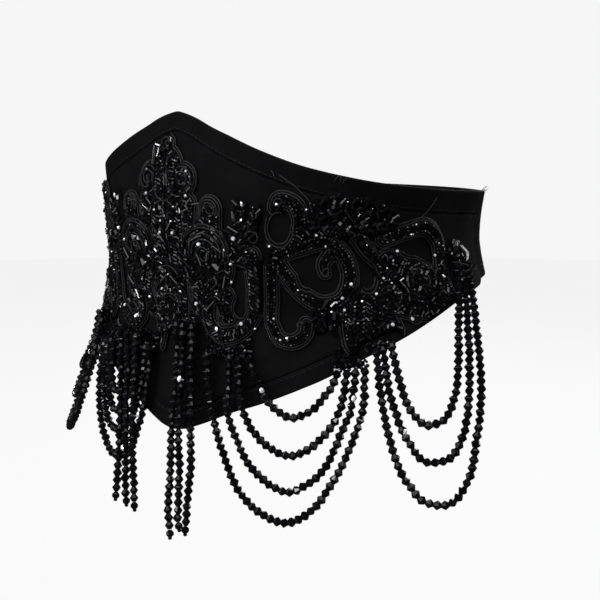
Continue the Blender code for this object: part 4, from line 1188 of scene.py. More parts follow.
def bead_parts(plan, piece, side, rng):
    """Mesh parts of the dark beads and of the stones, painted white as glints, of one lace piece.
    """
    dark, bright = [], []
    for kind, shape, lie, tilt, deep, lift, above in BEAD_KINDS:
        p = plan[plan[:, 5] == kind]
        if not len(p):
            continue
        n = len(p)
        vary = rng.uniform(*SIZE_VARIES, n)
        half, wide = p[:, 3] * vary, p[:, 4] * vary
        proud = (rng.random(n) < PROUD_SHARE) * rng.uniform(*PROUD_LIFT, n)
        off = lace_height(p[:, 0], p[:, 1], piece, side) + (lift * wide + above + proud)
        centers, axes = frames(p[:, 0], p[:, 1], p[:, 2], off, side)
        axes = tilted(axes, rng, tilt)
        if lie:
            axes, sizes = laid_down(axes), np.stack([deep * wide, wide, half], -1)
        else:
            sizes = np.stack([half, wide, deep * wide], -1)
        tone = rng.random(n)
        # Rays and bars get a lighter tone: painted sheen
        if kind in (KIND_RAY, KIND_SHARD):
            tone = RAY_PAINTED_SHEEN - RAY_PAINTED_SHEEN_FALL * tone
        part = copies(shape, centers, axes, sizes, tone)
        # Stones go to their own part, drawn in the painted glint white
        (bright if kind == KIND_STONE else dark).append(part)
    return dark, bright


# Cloth


# Rows beside an edge and columns beside an end, and the columns between, in degrees
EDGE_STEPS = (0.0, 0.12, 0.35, 0.7, 1.2, 2.0)
END_STEPS = (0.06, 0.18, 0.36, 0.62, 0.95, 1.3, 1.7, 2.2, 2.8, 3.4, 4.1)
COLUMN_STEP = 1.35
# Lap of the back band at the side seam, and how far it tucks inside the front's edges
BACK_LAP = 0.12
TUCK_TOP, TUCK_LOW = 1.2, 1.6
TUCK_RISE = 8


def rolled(d, half):
    """Inset of a turned edge at the distance d from it: a quarter circle of half the wall."""
    d = np.clip(d, 0, half)
    return 0.9 * (half - np.sqrt(half ** 2 - (half - d) ** 2))


def seam_dip(s, d):
    """Groove and small puckers beside a sewn seam, fading with the distance d from it."""
    pucker = np.sin(s * 1.13 + 1.4 * np.sin(s * 0.21)) * (0.6 + 0.4 * np.sin(s * 0.083 + 1))
    return 0.30 * np.exp(-(d / 0.9) ** 2) + 0.09 * (1 + pucker) * np.exp(-d / 3.2)


def cloth_part(angles, low, high, middle, off, wall, seams):
    """Cloth between two edge heights: rows run from the low to the high edge, close together at
    the edges, and both faces close in on each other there. seams says which of low, high,
    first end and last end are sewn to the next piece."""
    e = np.array(EDGE_STEPS)
    share = np.linspace(0, 1, middle + 2)[1:-1]
    low_in, high_in = low + e[-1], high - e[-1]
    z = np.concatenate([low[None] + e[:, None],
                        low_in[None] + (high_in - low_in)[None] * share[:, None],
                        high[None] - e[::-1, None]])
    a = np.broadcast_to(angles[None], z.shape)
    s = arc_at(a)
    gaps = (z - low[None], high[None] - z, s - s[:, :1], s[:, -1:] - s)
    base = off(a, z) + crease(s, z)
    for sewn, gap in zip(seams, gaps):
        if sewn:
            base = base - seam_dip(s, gap)
    roll = rolled(np.minimum.reduce(gaps), wall / 2)
    return shell_part(body(a, z, base - roll), body(a, z, base - wall + roll),
                      np.stack([s, z], -1))


def spread_angles(start, stop):
    """Angles a column step apart, with finer ones beside both ends."""
    inner = np.linspace(start, stop, int((stop - start) / COLUMN_STEP) + 1)
    more = np.array(END_STEPS)
    return np.unique(np.round(np.concatenate([inner, start + more, stop - more]), 4))


def make_cloth(settings):
    """Front panel, top band, hem band and back band, each a thin closed cloth shell."""
    wall = settings.wall / MM
    satin, band = materials("satin"), materials("band_satin")
    a = spread_angles(-FRONT_END, FRONT_END)
    high, low = top_seam(a), hem_seam(a)
    part = cloth_part(a, low - SEAM_LAP, high + SEAM_LAP, 44, front_off, wall, (1, 1, 1, 0))
    front = build("front_panel_cloth", [part], satin, True)
    part = cloth_part(a, high - SEAM_LAP, edge(TOP_EDGE, a), 4, front_off, wall, (1, 0, 1, 0))
    top = build("top_band_cloth", [part], band, True)
    part = cloth_part(a, low_edge(a), low + SEAM_LAP, 3, front_off, wall, (0, 1, 1, 0))
    hem = build("hem_band_cloth", [part], band, True)
    b = spread_angles(BACK_START, 360 - FRONT_END + BACK_LAP)
    under = underlap(b)
    high = edge(TOP_EDGE, b) - TUCK_TOP * under
    low = edge(LOW_EDGE, b) - TUCK_LOW * under * smooth_step((b - BACK_START) / TUCK_RISE)
    part = cloth_part(b, low, high, 14, back_off, wall, (0, 0, 0, 1))
    back = build("back_band_cloth", [part], satin, True)
    for piece, node, size, area, rests in (
            (front, "front_panel", (0.392, 0.147), 0.0303, ["top_band_cloth", "back_band_cloth"]),
            (top, "top_band", (0.415, 0.014), 0.0052, ["front_panel_cloth"]),
            (hem, "hem_band", (0.440, 0.011), 0.0047, ["front_panel_cloth"]),
            (back, "back_band", (0.300, 0.044), 0.0130, ["front_panel_cloth"])):
        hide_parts(node)


# Stitches: gap, radius, how deep they sink, distance from a seam and from an edge
STITCH_GAP = 0.75
STITCH_RADIUS = 0.17
STITCH_SUNK = 0.02
FROM_SEAM = 1.7
FROM_EDGE = 6.0


def stitch_row(angles, height, off, length):
    """Short sewn stitches along a line of the cloth: each is a small six-sided bar."""
    s = arc_at(angles)
    t = np.arange(s[0] + 1, s[-1] - 1, length + STITCH_GAP)
    z = np.interp(t, s, height)
    slope = np.degrees(np.arctan2(np.gradient(z, t), 1))
    lay = off(angle_at(t), z) + crease(t, z) - STITCH_SUNK
    centers, axes = frames(t, z, slope, lay)
    sizes = np.tile([STITCH_RADIUS, STITCH_RADIUS, length / 2], (len(t), 1))
    return copies(BUGLE, centers, laid_down(axes), sizes)


def make_stitching(settings):
    """Topstitching beside the seams and edges."""
    a = np.linspace(-FRONT_END + 0.8, FRONT_END - 0.8, 400)
    b = np.linspace(BACK_START + 1, 360 - FRONT_END - 1, 300)
    length = settings.stitch / MM
    rows = [stitch_row(a, top_seam(a) + FROM_SEAM, front_off, length),
            stitch_row(a, hem_seam(a) - FROM_SEAM, front_off, length),
            stitch_row(b, edge(TOP_EDGE, b) - FROM_EDGE, back_off, length),
            stitch_row(b, edge(LOW_EDGE, b) + FROM_EDGE, back_off, length)]
    build("band_stitching", rows, materials("thread"))


def make_loose_threads(settings):
    """Fine stray threads: straight runs bowed sideways and lifted towards their free ends."""
    parts = []
    for start, stop, bow, lift0, lift1 in LOOSE_THREADS:
        t = np.linspace(0, 1, 14)
        d = np.subtract(stop, start)
        across = np.array([-d[1], d[0]]) / np.hypot(*d)
        q = np.add(start, t[:, None] * d) + (bow * np.sin(np.pi * t))[:, None] * across
        a = angle_at(q[:, 0])
        off = front_off(a, q[:, 1]) * (np.abs(a) < FRONT_END) + lift0 + (lift1 - lift0) * t ** 2
        p = body(a, q[:, 1], off)
        parts.append(tube(p, body(a, q[:, 1], off + 1) - p, settings.loose_thread / MM, 5))
    build("loose_threads", parts, materials("loose_thread"), True)


def make_lace(settings):
    """Net grounds and their corded outlines for the three lace pieces."""
    for name, piece, side in LACE_PIECES:
        part = lace_ground(piece, side)
        ground = build(name + "_lace", [part], materials("lace"), True)
        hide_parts(name + "_applique")
        cords = lace_cords(piece, side, settings.cord / MM)
        build(name + "_cording", cords, materials("cord"), True)


def make_beading(settings):
    """Beads of the three lace pieces, and their stones painted white as glints."""
    for i, (name, piece, side) in enumerate(LACE_PIECES):
        plan, rng = bead_plan(piece, side, settings.seed + i)
        dark, bright = bead_parts(plan, piece, side, rng)
        if piece == "center":
            dark.append(apex_bars())
        beads = build(name + "_beading", dark, materials("beads"))
        # Stones: white, painted glints
        stones = build(name + "_stones", bright, materials("stone"))


# Long cut bars beside the top loop: s, z, turn, half length, half width; their lift and tone
APEX_BARS = ((-12.6, 46.4, 87, 5.2, 0.8), (-9.6, 51.6, -12, 2.0, 0.6),
             (-8.9, 47.8, 74, 2.6, 0.7), (-21.0, 37.8, 58, 3.4, 0.9),
             (-23.3, 32.6, 84, 2.8, 0.9), (-18.3, 41.4, 30, 2.2, 0.8),
             (-16.8, 32.6, 96, 3.2, 0.8), (-12.6, 34.8, 82, 2.6, 0.7))
APEX_LIFT = 2.6
APEX_TONE = 0.97


def apex_bars():
    """Long cut bars beside the top loop of the middle lace, as one part."""
    t = np.array(APEX_BARS)
    centers, axes = frames(t[:, 0], t[:, 1], t[:, 2], LAY_GAP + APEX_LIFT)
    return copies(BUGLE, centers, laid_down(axes), t[:, [4, 4, 3]],
                  np.full(len(t), APEX_TONE))


# Strands


# Length of one degree of the waist, and points of a strand line in a millimetre
DEGREE_LENGTH = 1.9
LINE_POINTS = 4
# Strand beads: stray of direction, place and twist, width, length, tone; core radius and step
SWAY = 0.09
SHAKE = (0.12, 0.1)
TWIST = 0.3
BEAD_WIDTH = (0.93, 1.05)
BEAD_LENGTH = 1.03
STRAND_TONE = 0.8
CORE_RADIUS = 0.4
CORE_EVERY = 8
# Painted glints: small white stones on a few beads that stand in for facets catching the light.
# Share of the beads, room to the strand's ends, tilt, size and place in radii
FACET_SHARE = 0.035
FACET_ROOM = 12
FACET_TILT = 0.2
FACET_SIZE = (0.5, 0.72, 0.5)
FACET_OUT = 0.72
# Two round beads at a free end: how far past it, and radii
END_BEADS = ((2.2,), (4.6,))
END_BEAD_SIZES = ((2.1, 2.1, 2.1), (1.1, 1.1, 0.9))
# Roots: tape, pitch, rows, offsets and size of its beads; bars above: number in a millimetre,
# reach upwards, half length and width, room between, distance from the lace
TAPE_HALF = 1.2
TAPE_WALL = 0.6
ROOT_PITCH = 2.3
ROOT_ROWS = (-1.15, 1.15, -1.0, 1.0)
ROOT_IN_LOW, ROOT_IN_HIGH = 1.6, 1.3
ROOT_BEAD = (0.7, 1.1)
COVER_DENSE = 9
COVER_REACH = (1.6, 8.5)
COVER_HALF, COVER_WIDE = 1.35, 0.85
COVER_ROOM = 0.95
COVER_BARE = 0.6


def dense_line(points, off):
    """Smooth strand line on the body: cubic through the tabled points, as 3D points about a
    quarter millimetre apart, with their outward directions."""
    p = np.asarray(points, float)
    steps = np.hypot(*(np.diff(p, axis=0) * (DEGREE_LENGTH, 1)).T)
    run = np.concatenate([[0], np.cumsum(steps)])
    q = smooth_line(p, run, np.linspace(0, run[-1], int(run[-1] * LINE_POINTS)))
    line = body(q[:, 0], q[:, 1], off)
    return line, unit(body(q[:, 0], q[:, 1], off + 1) - line)


def strand_parts(points, off, pitch, radius, end_bead, rng):
    """Dark parts of one strand and its painted glints: faceted beads threaded on a core, each
    twisted a little from the one before, a small white stone on a few as a painted glint, and two
    beads at a free end."""
    line, out = dense_line(points, off)
    run = lengths_along(line)
    count = int(round(run[-1] / pitch))
    step = run[-1] / count
    at = (np.arange(count) + 0.5) * step
    pick, lift = sampled(line, run, at), unit(sampled(out, run, at))
    along = unit(np.gradient(pick, axis=0) + rng.normal(0, SWAY, (count, 3)) * pitch)
    across = unit(np.cross(along, lift))
    spin = rng.uniform(0, 2 * np.pi) + np.cumsum(rng.normal(0, TWIST, count))[:, None]
    first = np.cos(spin) * across + np.sin(spin) * np.cross(along, across)
    axes = np.stack([first, np.cross(along, first), along], -2)
    pick = (pick + across * rng.normal(0, SHAKE[0], (count, 1))
            + lift * rng.normal(0, SHAKE[1], (count, 1)))
    wide = radius * rng.uniform(*BEAD_WIDTH, count)
    sizes = np.stack([wide, wide, np.full(count, step * BEAD_LENGTH)], -1)
    tone = rng.random(count) * STRAND_TONE
    # A few beads get a small white stone on their outward face: a painted glint
    bright = (rng.random(count) < FACET_SHARE) & (np.minimum(at, run[-1] - at) > FACET_ROOM)
    dark = [copies(BICONE, pick, axes, sizes, tone),
            tube(line[::CORE_EVERY], out[::CORE_EVERY], CORE_RADIUS, 5)]
    shiny = []
    if bright.any():
        face = unit(lift[bright] + rng.normal(0, FACET_TILT, (bright.sum(), 3)))
        first = unit(np.cross(along[bright], face))
        facet = np.stack([first, np.cross(face, first), face], -2)
        size = wide[bright][:, None]
        shiny.append(copies(CUT_STONE, pick[bright] + face * size * FACET_OUT, facet,
                            size * FACET_SIZE))
    if end_bead:
        tip = line[-1] + along[-1] * np.array(END_BEADS)
        dark.append(copies(ROUND, tip, axes[[-1, -1]], np.array(END_BEAD_SIZES)))
    return dark, shiny


def root_place(root, t):
    """Angle and height at the share t of the way along a root."""
    (a0, z0), (a1, z1) = root[:2]
    return a0 + (a1 - a0) * t, z0 + (z1 - z0) * t


def root_length(root):
    """Straight length of a root."""
    return np.linalg.norm(body(*root[1]) - body(*root[0]))


def root_tape(root):
    """Narrow cloth strip along a root."""
    low = root[2]
    a, z = root_place(root, np.linspace(0.05, 0.95, 12))
    v = np.array([-TAPE_HALF, 0, TAPE_HALF])[:, None]
    outer, inner = body(a + 0 * v, z + v, low + TAPE_WALL), body(a + 0 * v, z + v, low)
    return shell_part(outer, inner, np.stack([arc_at(a) + 0 * v, z + v], -1))


def root_beads(root, rng):
    """Two layers of round beads on the tape, each of two rows."""
    low, high = root[2] + ROOT_IN_LOW, root[3] - ROOT_IN_HIGH
    count = int(root_length(root) / ROOT_PITCH)
    n = 4 * count
    t = np.tile((np.arange(count) + 0.5) / count, 4) + rng.uniform(-0.4, 0.4, n) / count
    a, z = root_place(root, np.clip(t, 0, 1))
    z = z + (np.repeat(ROOT_ROWS, count) + rng.uniform(-0.8, 0.8, n))
    off = np.repeat([low, low, high, high], count) + rng.uniform(-0.5, 0.5, n)
    centers, axes = frames(arc_at(a), z, rng.uniform(0, 180, n), off)
    size = rng.uniform(*ROOT_BEAD, n)
    return copies(ROUND, centers, tilted(axes, rng, 0.5), np.stack([size] * 3, -1),
                  0.6 * rng.random(n))


def root_cover(root, rng):
    """Bars strewn over the bare cloth above a root: a list of one part, or empty where the root
    lies on lace. Every root draws its random places."""
    n = int(root_length(root) * COVER_DENSE)
    u = rng.random(n)
    a, z = root_place(root, u)
    s, z = arc_at(a), z + rng.uniform(*COVER_REACH, n)
    if abs(s[0]) < LACE_CUT - 1:
        field = lace_field(s, z, "center", 1)[0]
    else:
        field = lace_field(abs(s), z, "side", 1 if root[0][0] > 0 else -1)[0]
    plan = plan_of(s, z, rng.uniform(0, 180, n), COVER_HALF, COVER_WIDE, KIND_LONG)
    bare = (field < -COVER_BARE) & (z < top_seam(angle_at(s)) - 1)
    plan = thinned(plan[bare], COVER_ROOM)
    if root[2] > 1 or not len(plan):
        return []
    centers, axes = frames(plan[:, 0], plan[:, 1], plan[:, 2], 1.2 + rng.random(len(plan)))
    axes = laid_down(tilted(axes, rng, 0.3))
    return [copies(BUGLE, centers, axes, plan[:, [4, 4, 3]], 0.8 * rng.random(len(plan)))]


def make_strands(settings):
    """Swags and hanging strands with their bead tapes, one piece a group."""
    rng = np.random.default_rng(settings.seed + 20)
    shiny = []
    for node, strands, roots, off, end_bead in STRAND_GROUPS:
        parts = []
        for points in strands:
            dark, bright = strand_parts(points, off, settings.pitch / MM, settings.radius / MM,
                                        end_bead, rng)
            parts += dark
            shiny += bright
        for root in roots:
            parts += [root_tape(root), root_beads(root, rng), *root_cover(root, rng)]
        piece = build(node + "_beads", parts, materials("strand"))
        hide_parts(node)
    # White stones on the strand beads: painted glints
    build("strand_painted_glints", shiny, materials("stone"))


# Oval stones: name and angle; level, half sizes and tone; the rim's points, centre and radii
# across and up, least thickness and swell, lift and further lift towards its foot
JEWELS = (("left_jewel", 93.0), ("right_jewel", -93.0))
JEWEL_LEVEL = 0.2
JEWEL_SIZE = (2.5, 4.0, 2.3)
JEWEL_TONE = 0.2
# The rim is a metal bezel drawn only as a crescent on one side, thickest in its middle, where a
# highlight falls: partly a painted highlight
RIM_POINTS = 26
RIM_CENTER = (0.8, -2.4)
RIM_RADII = (3.6, 5.6)
RIM_THICK = (0.2, 0.75)
RIM_LIFT = (1.2, 3.6)


def make_jewels():
    """Oval domed stones at the side roots, each with a grey metal rim that is thick on one side;
    the rim lies where a highlight falls, so it is partly a painted highlight.
    """
    for name, angle in JEWELS:
        way = 1 if angle > 0 else -1
        s = float(arc_at(angle))
        lift = float(front_off(angle, 1.6)) + LAY_GAP
        centers, axes = frames(np.array([s]), np.array([JEWEL_LEVEL]), np.array([0.0]), lift)
        dome = copies(DOME, centers, axes, np.array([JEWEL_SIZE]), np.array([JEWEL_TONE]))
        t = np.radians(np.linspace(-66, 66, RIM_POINTS))
        q = s + way * (RIM_CENTER[0] + RIM_RADII[0] * np.cos(t))
        z = RIM_CENTER[1] + RIM_RADII[1] * np.sin(t)
        swell = np.sin(np.linspace(0, np.pi, RIM_POINTS)) ** 0.8
        thick = RIM_THICK[0] + RIM_THICK[1] * swell
        p, ax = frames(q, z, 0 * q, lift + RIM_LIFT[0] + RIM_LIFT[1] * smooth_step((1 - z) / 5))
        rim = tube(p, ax[:, 2], thick, 8)
        gem = build(name + "_stone", [dome], materials("smoky"), True)
        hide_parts(name)
        build(name + "_rim", [rim], materials("rim"), True)


# Fasteners: angle and levels of the bars, the ends of a bar, radius of its stitches
FASTENERS = ("hook_upper", "hook_middle", "hook_lower", "bar_upper", "bar_middle", "bar_lower")
BAR_ANGLE = 100.2
BAR_LEVELS = (15.0, 2.0, -11.0)
BAR_ENDS = (-3.1, 3.1)
BAR_STITCH = 0.16


def make_fasteners():
    """Worn metal on the hooks and bars, and the stitches that hold the bars."""
    for node in FASTENERS:
        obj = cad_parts[node]
        obj.data.materials.clear()
        obj.data.materials.append(materials("metal"))
    parts = []
    t = np.linspace(-1, 1, 9)
    for z in BAR_LEVELS:
        for dz in BAR_ENDS:
            for shift in (-0.5, 0.5):
                s = float(arc_at(BAR_ANGLE)) + shift + 0 * t
                h = z + dz + 1.1 * t
                off = -UNDERLAP_DROP + 0.15 + 0.5 * np.cos(t * np.pi / 2)
                p, ax = frames(s, h, 90 + 0 * s, off)
                parts.append(tube(p, ax[:, 2], BAR_STITCH, 5))
    build("bar_stitches", parts, materials("thread"), True)


# Materials


MADE = {}


def materials(key):
    """The named material, made once."""
    if key not in MADE:
        MADE[key] = MATERIALS[key]("belt_" + key)
    return MADE[key]


class Surface:
    """A Principled material with helpers that add texture nodes to it."""

    def __init__(self, name, color, **sockets):
        self.mat = bpy.data.materials.new(name)
        self.mat.use_nodes = True
        self.tree = self.mat.node_tree
        self.shader = self.tree.nodes["Principled BSDF"]
        self.shader.inputs["Base Color"].default_value = (*color, 1)
        for key, value in sockets.items():
            self.shader.inputs[key.replace("_", " ")].default_value = value
        self.coords = self.node("ShaderNodeTexCoord")

    def node(self, kind, **props):
        """A new node with its properties set."""
        node = self.tree.nodes.new(kind)
        for key, value in props.items():
            setattr(node, key, value)
        return node

    def link(self, source, target):
        """Join an output socket to an input socket."""
        self.tree.links.new(source, target)

    def mapped(self, source, scale, turn=0.0):
        """Object or UV coordinates, scaled and turned about the third axis."""
        node = self.node("ShaderNodeMapping")
        node.inputs["Scale"].default_value = scale
        node.inputs["Rotation"].default_value = (0, 0, turn)
        self.link(self.coords.outputs[source], node.inputs["Vector"])
        return node.outputs["Vector"]

    def noise(self, source, scale, detail=3.0, rough=0.55, stretch=(1, 1, 1)):
        """Noise texture value."""
        node = self.node("ShaderNodeTexNoise")
        node.inputs["Scale"].default_value = scale
        node.inputs["Detail"].default_value = detail
        node.inputs["Roughness"].default_value = rough
        self.link(self.mapped(source, stretch), node.inputs["Vector"])
        return node.outputs["Fac"]

    def wave(self, source, scale, stretch=(1, 1, 1), turn=0.0, distort=0.0):
        """Wave texture value: bands across the first axis."""
        node = self.node("ShaderNodeTexWave", wave_type="BANDS", bands_direction="X")
        node.inputs["Scale"].default_value = scale
        node.inputs["Distortion"].default_value = distort
        self.link(self.mapped(source, stretch, turn), node.inputs["Vector"])
        return node.outputs["Fac"]

    def cells(self, source, scale):
        """Voronoi distance value."""
        node = self.node("ShaderNodeTexVoronoi", feature="F1")
        node.inputs["Scale"].default_value = scale
        self.link(self.mapped(source, (1, 1, 1)), node.inputs["Vector"])
        return node.outputs["Distance"]

    def tone(self):
        """The random value that each bead carries."""
        return self.node("ShaderNodeAttribute", attribute_name="tone").outputs["Fac"]

    def ramp(self, value, low, high, socket):
        """Map a value from 0..1 to a range of numbers and feed a socket."""
        node = self.node("ShaderNodeMapRange")
        node.inputs["To Min"].default_value = low
        node.inputs["To Max"].default_value = high
        self.link(value, node.inputs["Value"])
        self.link(node.outputs["Result"], self.shader.inputs[socket])

    def tint(self, value, stops):
        """Colour ramp from a value into the base colour: stops are (place, colour)."""
        node = self.node("ShaderNodeValToRGB")
        ramp = node.color_ramp
        while len(ramp.elements) < len(stops):
            ramp.elements.new(0.5)
        for element, (place, color) in zip(ramp.elements, stops):
            element.position = place
            element.color = (*color, 1)
        self.link(value, node.inputs["Fac"])
        self.link(node.outputs["Color"], self.shader.inputs["Base Color"])

    def bump(self, value, strength, distance, before=None):
        """Bump from a value, chained after another bump."""
        node = self.node("ShaderNodeBump")
        node.inputs["Strength"].default_value = strength
        node.inputs["Distance"].default_value = distance
        self.link(value, node.inputs["Height"])
        if before is not None:
            self.link(before, node.inputs["Normal"])
        self.link(node.outputs["Normal"], self.shader.inputs["Normal"])
        return node.outputs["Normal"]


def satin(name, dark, light, rough):
    """Black satin: fine slanting weave, soft cloudiness, dull sheen and tiny fibres."""
    surface = Surface(name, dark, Specular_IOR_Level=0.03)
    surface.tint(surface.noise("UV", 0.045, 4.0, 0.6), ((0.32, dark), (0.72, light)))
    surface.ramp(surface.noise("UV", 0.6, 3.0), rough - 0.08, rough + 0.10, "Roughness")
    weave = surface.wave("UV", 0.9, (1, 1, 1), 0.6, 0.6)
    first = surface.bump(weave, 0.10, 0.00006)
    surface.bump(surface.noise("UV", 2.3, 4.0, 0.7, (1, 3, 1)), 0.25, 0.00012, first)
    return surface.mat


def lace_material(name):
    """Black net ground: cells of fine thread over a dull cloth."""
    surface = Surface(name, (0.002, 0.002, 0.0025), Specular_IOR_Level=0.03)
    surface.tint(surface.cells("UV", 0.75), ((0.05, (0.003, 0.003, 0.0035)),
                                             (0.5, (0.0006, 0.0006, 0.0009))))
    surface.ramp(surface.noise("UV", 0.8), 0.5, 0.8, "Roughness")
    first = surface.bump(surface.cells("UV", 0.75), 0.7, 0.0003)
    surface.bump(surface.noise("UV", 3.0, 4.0), 0.4, 0.0002, first)
    return surface.mat


def cord_material(name):
    """Twisted rayon cord: slanting ply bands along the cord, slightly shiny."""
    surface = Surface(name, (0.01, 0.01, 0.011), Specular_IOR_Level=0.3)
    surface.tint(surface.noise("UV", 0.5), ((0.3, (0.003, 0.003, 0.004)),
                                            (0.75, (0.012, 0.012, 0.014))))
    surface.ramp(surface.noise("UV", 1.2), 0.28, 0.48, "Roughness")
    surface.bump(surface.wave("UV", 0.36, (1, 2.0, 1), 0.8), 0.75, 0.00025)
    return surface.mat


def thread_material(name):
    """Dull sewing thread."""
    surface = Surface(name, (0.006, 0.006, 0.007), Specular_IOR_Level=0.15)
    surface.tint(surface.noise("Object", 900), ((0.3, (0.003, 0.003, 0.004)),
                                                (0.8, (0.009, 0.009, 0.010))))
    surface.ramp(surface.noise("Object", 1500), 0.45, 0.7, "Roughness")
    return surface.mat


def loose_material(name):
    """Pale worn fibre."""
    surface = Surface(name, (0.1, 0.1, 0.1), Specular_IOR_Level=0.3, Roughness=0.7)
    surface.tint(surface.noise("Object", 300), ((0.3, (0.02, 0.02, 0.021)),
                                                (0.8, (0.05, 0.05, 0.05))))
    return surface.mat


def glass_bead(name, stops, low, high, **sockets):
    """Cut black glass: each bead has its own tone, with a polished, slightly worn skin."""
    surface = Surface(name, stops[0][1], **sockets)
    surface.tint(surface.tone(), stops)
    surface.ramp(surface.noise("Object", 700, 2.0), low, high, "Roughness")
    surface.bump(surface.noise("Object", 500, 2.0), 0.08, 0.0001)
    return surface.mat


def metal_material(name):
    """Worn dark steel of the hooks and bars."""
    surface = Surface(name, (0.3, 0.3, 0.31), Metallic=1.0)
    surface.tint(surface.noise("Object", 420, 4.0), ((0.3, (0.16, 0.16, 0.165)),
                                                     (0.7, (0.42, 0.42, 0.43))))
    surface.ramp(surface.noise("Object", 900, 3.0), 0.22, 0.42, "Roughness")
    surface.bump(surface.noise("Object", 1200, 3.0, 0.6, (1, 1, 0.15)), 0.2, 0.0001)
    return surface.mat


def camera_level(tree, low, high, target):
    """Feed a socket the high number where the camera sees the surface itself, and the low one
    for all other light paths."""
    path = tree.nodes.new("ShaderNodeLightPath")
    level = tree.nodes.new("ShaderNodeMapRange")
    level.inputs["To Min"].default_value = low
    level.inputs["To Max"].default_value = high
    tree.links.new(path.outputs["Is Camera Ray"], level.inputs["Value"])
    tree.links.new(level.outputs["Result"], target)


# Strength of the floor's own light on the object, and as the camera sees it
FLOOR_LEVELS = (0.08, 0.885)


def floor_material(name):
    """Plain pale floor."""
    surface = Surface(name, bpy.context.scene.belt_stage.floor_color, Roughness=0.9,
                      Specular_IOR_Level=0.1, Emission_Color=(1, 1, 1, 1))
    camera_level(surface.tree, *FLOOR_LEVELS, surface.shader.inputs["Emission Strength"])
    return surface.mat


BLACKS = ((0.0, (0.001, 0.001, 0.0015)), (0.62, (0.003, 0.003, 0.004)),
          (0.86, (0.006, 0.006, 0.007)), (1.0, (0.019, 0.019, 0.021)))
# Base colours of the stone material: near-white, painted glints that stand in for light caught by
# facets of black cut glass
PAINTED_GLINT_WHITES = ((0.0, (0.72, 0.73, 0.76)), (1.0, (0.96, 0.96, 0.98)))
MATERIALS = {
    "satin": lambda n: satin(n, bpy.context.scene.belt_cloth.panel_color,
                             (0.0040, 0.0040, 0.0045), 0.75),
    "band_satin": lambda n: satin(n, bpy.context.scene.belt_cloth.band_color,
                                  (0.0032, 0.0032, 0.0037), 0.7),
    "lace": lace_material,
    "cord": cord_material,
    "thread": thread_material,
    "loose_thread": loose_material,
    "beads": lambda n: glass_bead(n, BLACKS, 0.05, 0.14, Specular_IOR_Level=0.29),
    "strand": lambda n: glass_bead(n, BLACKS, 0.06, 0.14, Specular_IOR_Level=0.13),
    # Stone: white base colour painted as glints; the coat and specular add real reflections
    "stone": lambda n: glass_bead(n, PAINTED_GLINT_WHITES, 0.05, 0.14, Specular_IOR_Level=0.9, Metallic=0.3,
                                  Coat_Weight=0.6, Coat_Roughness=0.04),
    "smoky": lambda n: glass_bead(n, ((0.0, (0.004, 0.004, 0.005)), (1.0, (0.02, 0.02, 0.022))),
                                  0.12, 0.2, Specular_IOR_Level=0.35),
    # Rim: grey metal, partly a painted highlight
    "rim": lambda n: glass_bead(n, ((0.0, (0.16, 0.16, 0.165)), (1.0, (0.3, 0.3, 0.31))),
                                0.25, 0.4, Specular_IOR_Level=0.5, Metallic=0.6),
    "metal": metal_material,
    "floor": floor_material,
}


# Stage


def floor_part(half, height, radius):
    """A wide flat square as a grid of quads, falling away at its corners by the square of the
    distance past nine tenths of its half width."""
    t = np.linspace(-1, 1, 25)
    x, y = np.meshgrid(t * half, t * half)
    far = np.clip((np.hypot(x, y) / half - 0.9) / 0.5, 0, 1)
    z = height - radius * far ** 2
    quads = np.stack(grid_corners(*x.shape), -1).reshape(-1, 4)
    return np.stack([x, y, z], -1).reshape(-1, 3), [quads]


def area_light(name, azimuth, elevation, distance, size, power, target):
    """A soft square light on a sphere round the target, turned to face it."""
    data = bpy.data.lights.new(name, "AREA")
    data.shape = "SQUARE"
    data.size = size
    data.energy = power
    obj = bpy.data.objects.new(name, data)
    bpy.context.scene.collection.objects.link(obj)
    aim(obj, azimuth, elevation, distance, target)


def aim(obj, azimuth, elevation, distance, target):
    """Put an object on a sphere round the target and turn it to look at the target."""
    az, el = math.radians(azimuth), math.radians(elevation)
    back = np.array([math.sin(az) * math.cos(el), -math.cos(az) * math.cos(el), math.sin(el)])
    right = unit(np.cross([0, 0, 1.0], back))
    up = np.cross(back, right)
    matrix = np.eye(4)
    matrix[:3, 0], matrix[:3, 1], matrix[:3, 2] = right, up, back
    matrix[:3, 3] = np.asarray(target) + back * distance
    obj.matrix_world = matrix.T.tolist()


FLOOR_HALF = 3000.0
FLOOR_FALL = 400.0
CAMERA_AZIMUTH = 43.54
CAMERA_ELEVATION = 8.07
CAMERA_DISTANCE = 0.7614
CAMERA_TARGET = (0.00357, 0.00339, -0.03848)
CAMERA_FOCAL_PIXELS = 1325.4
FRAME_PIXELS = 600
SENSOR = 36.0
# Lights: name, azimuth, elevation, distance, size, power
LIGHTS = (
    ("key", 0, 40, 1.4, 0.9, 13), ("front", -28, 3, 1.5, 0.8, 6),
    ("fill", 100, 22, 1.5, 0.9, 5), ("top", 40, 80, 1.3, 0.7, 7),
    ("back", 215, 35, 1.5, 0.9, 24), ("side", 165, 8, 1.5, 0.5, 4),
    ("glint_a", 70, 55, 1.3, 0.1, 1.6),
    ("glint_b", 20, 12, 1.4, 0.1, 1.6), ("glint_c", -25, 30, 1.3, 0.12, 2.2),
    ("glint_d", 125, 12, 1.3, 0.1, 1.0), ("glint_e", 48, 30, 1.5, 0.1, 1.8),
    ("glint_f", 60, 5, 1.4, 0.1, 1.6), ("glint_g", -50, 8, 1.4, 0.12, 2.0),
    ("glint_h", 90, 60, 1.3, 0.1, 1.6), ("glint_i", 10, 65, 1.3, 0.1, 1.6),
)


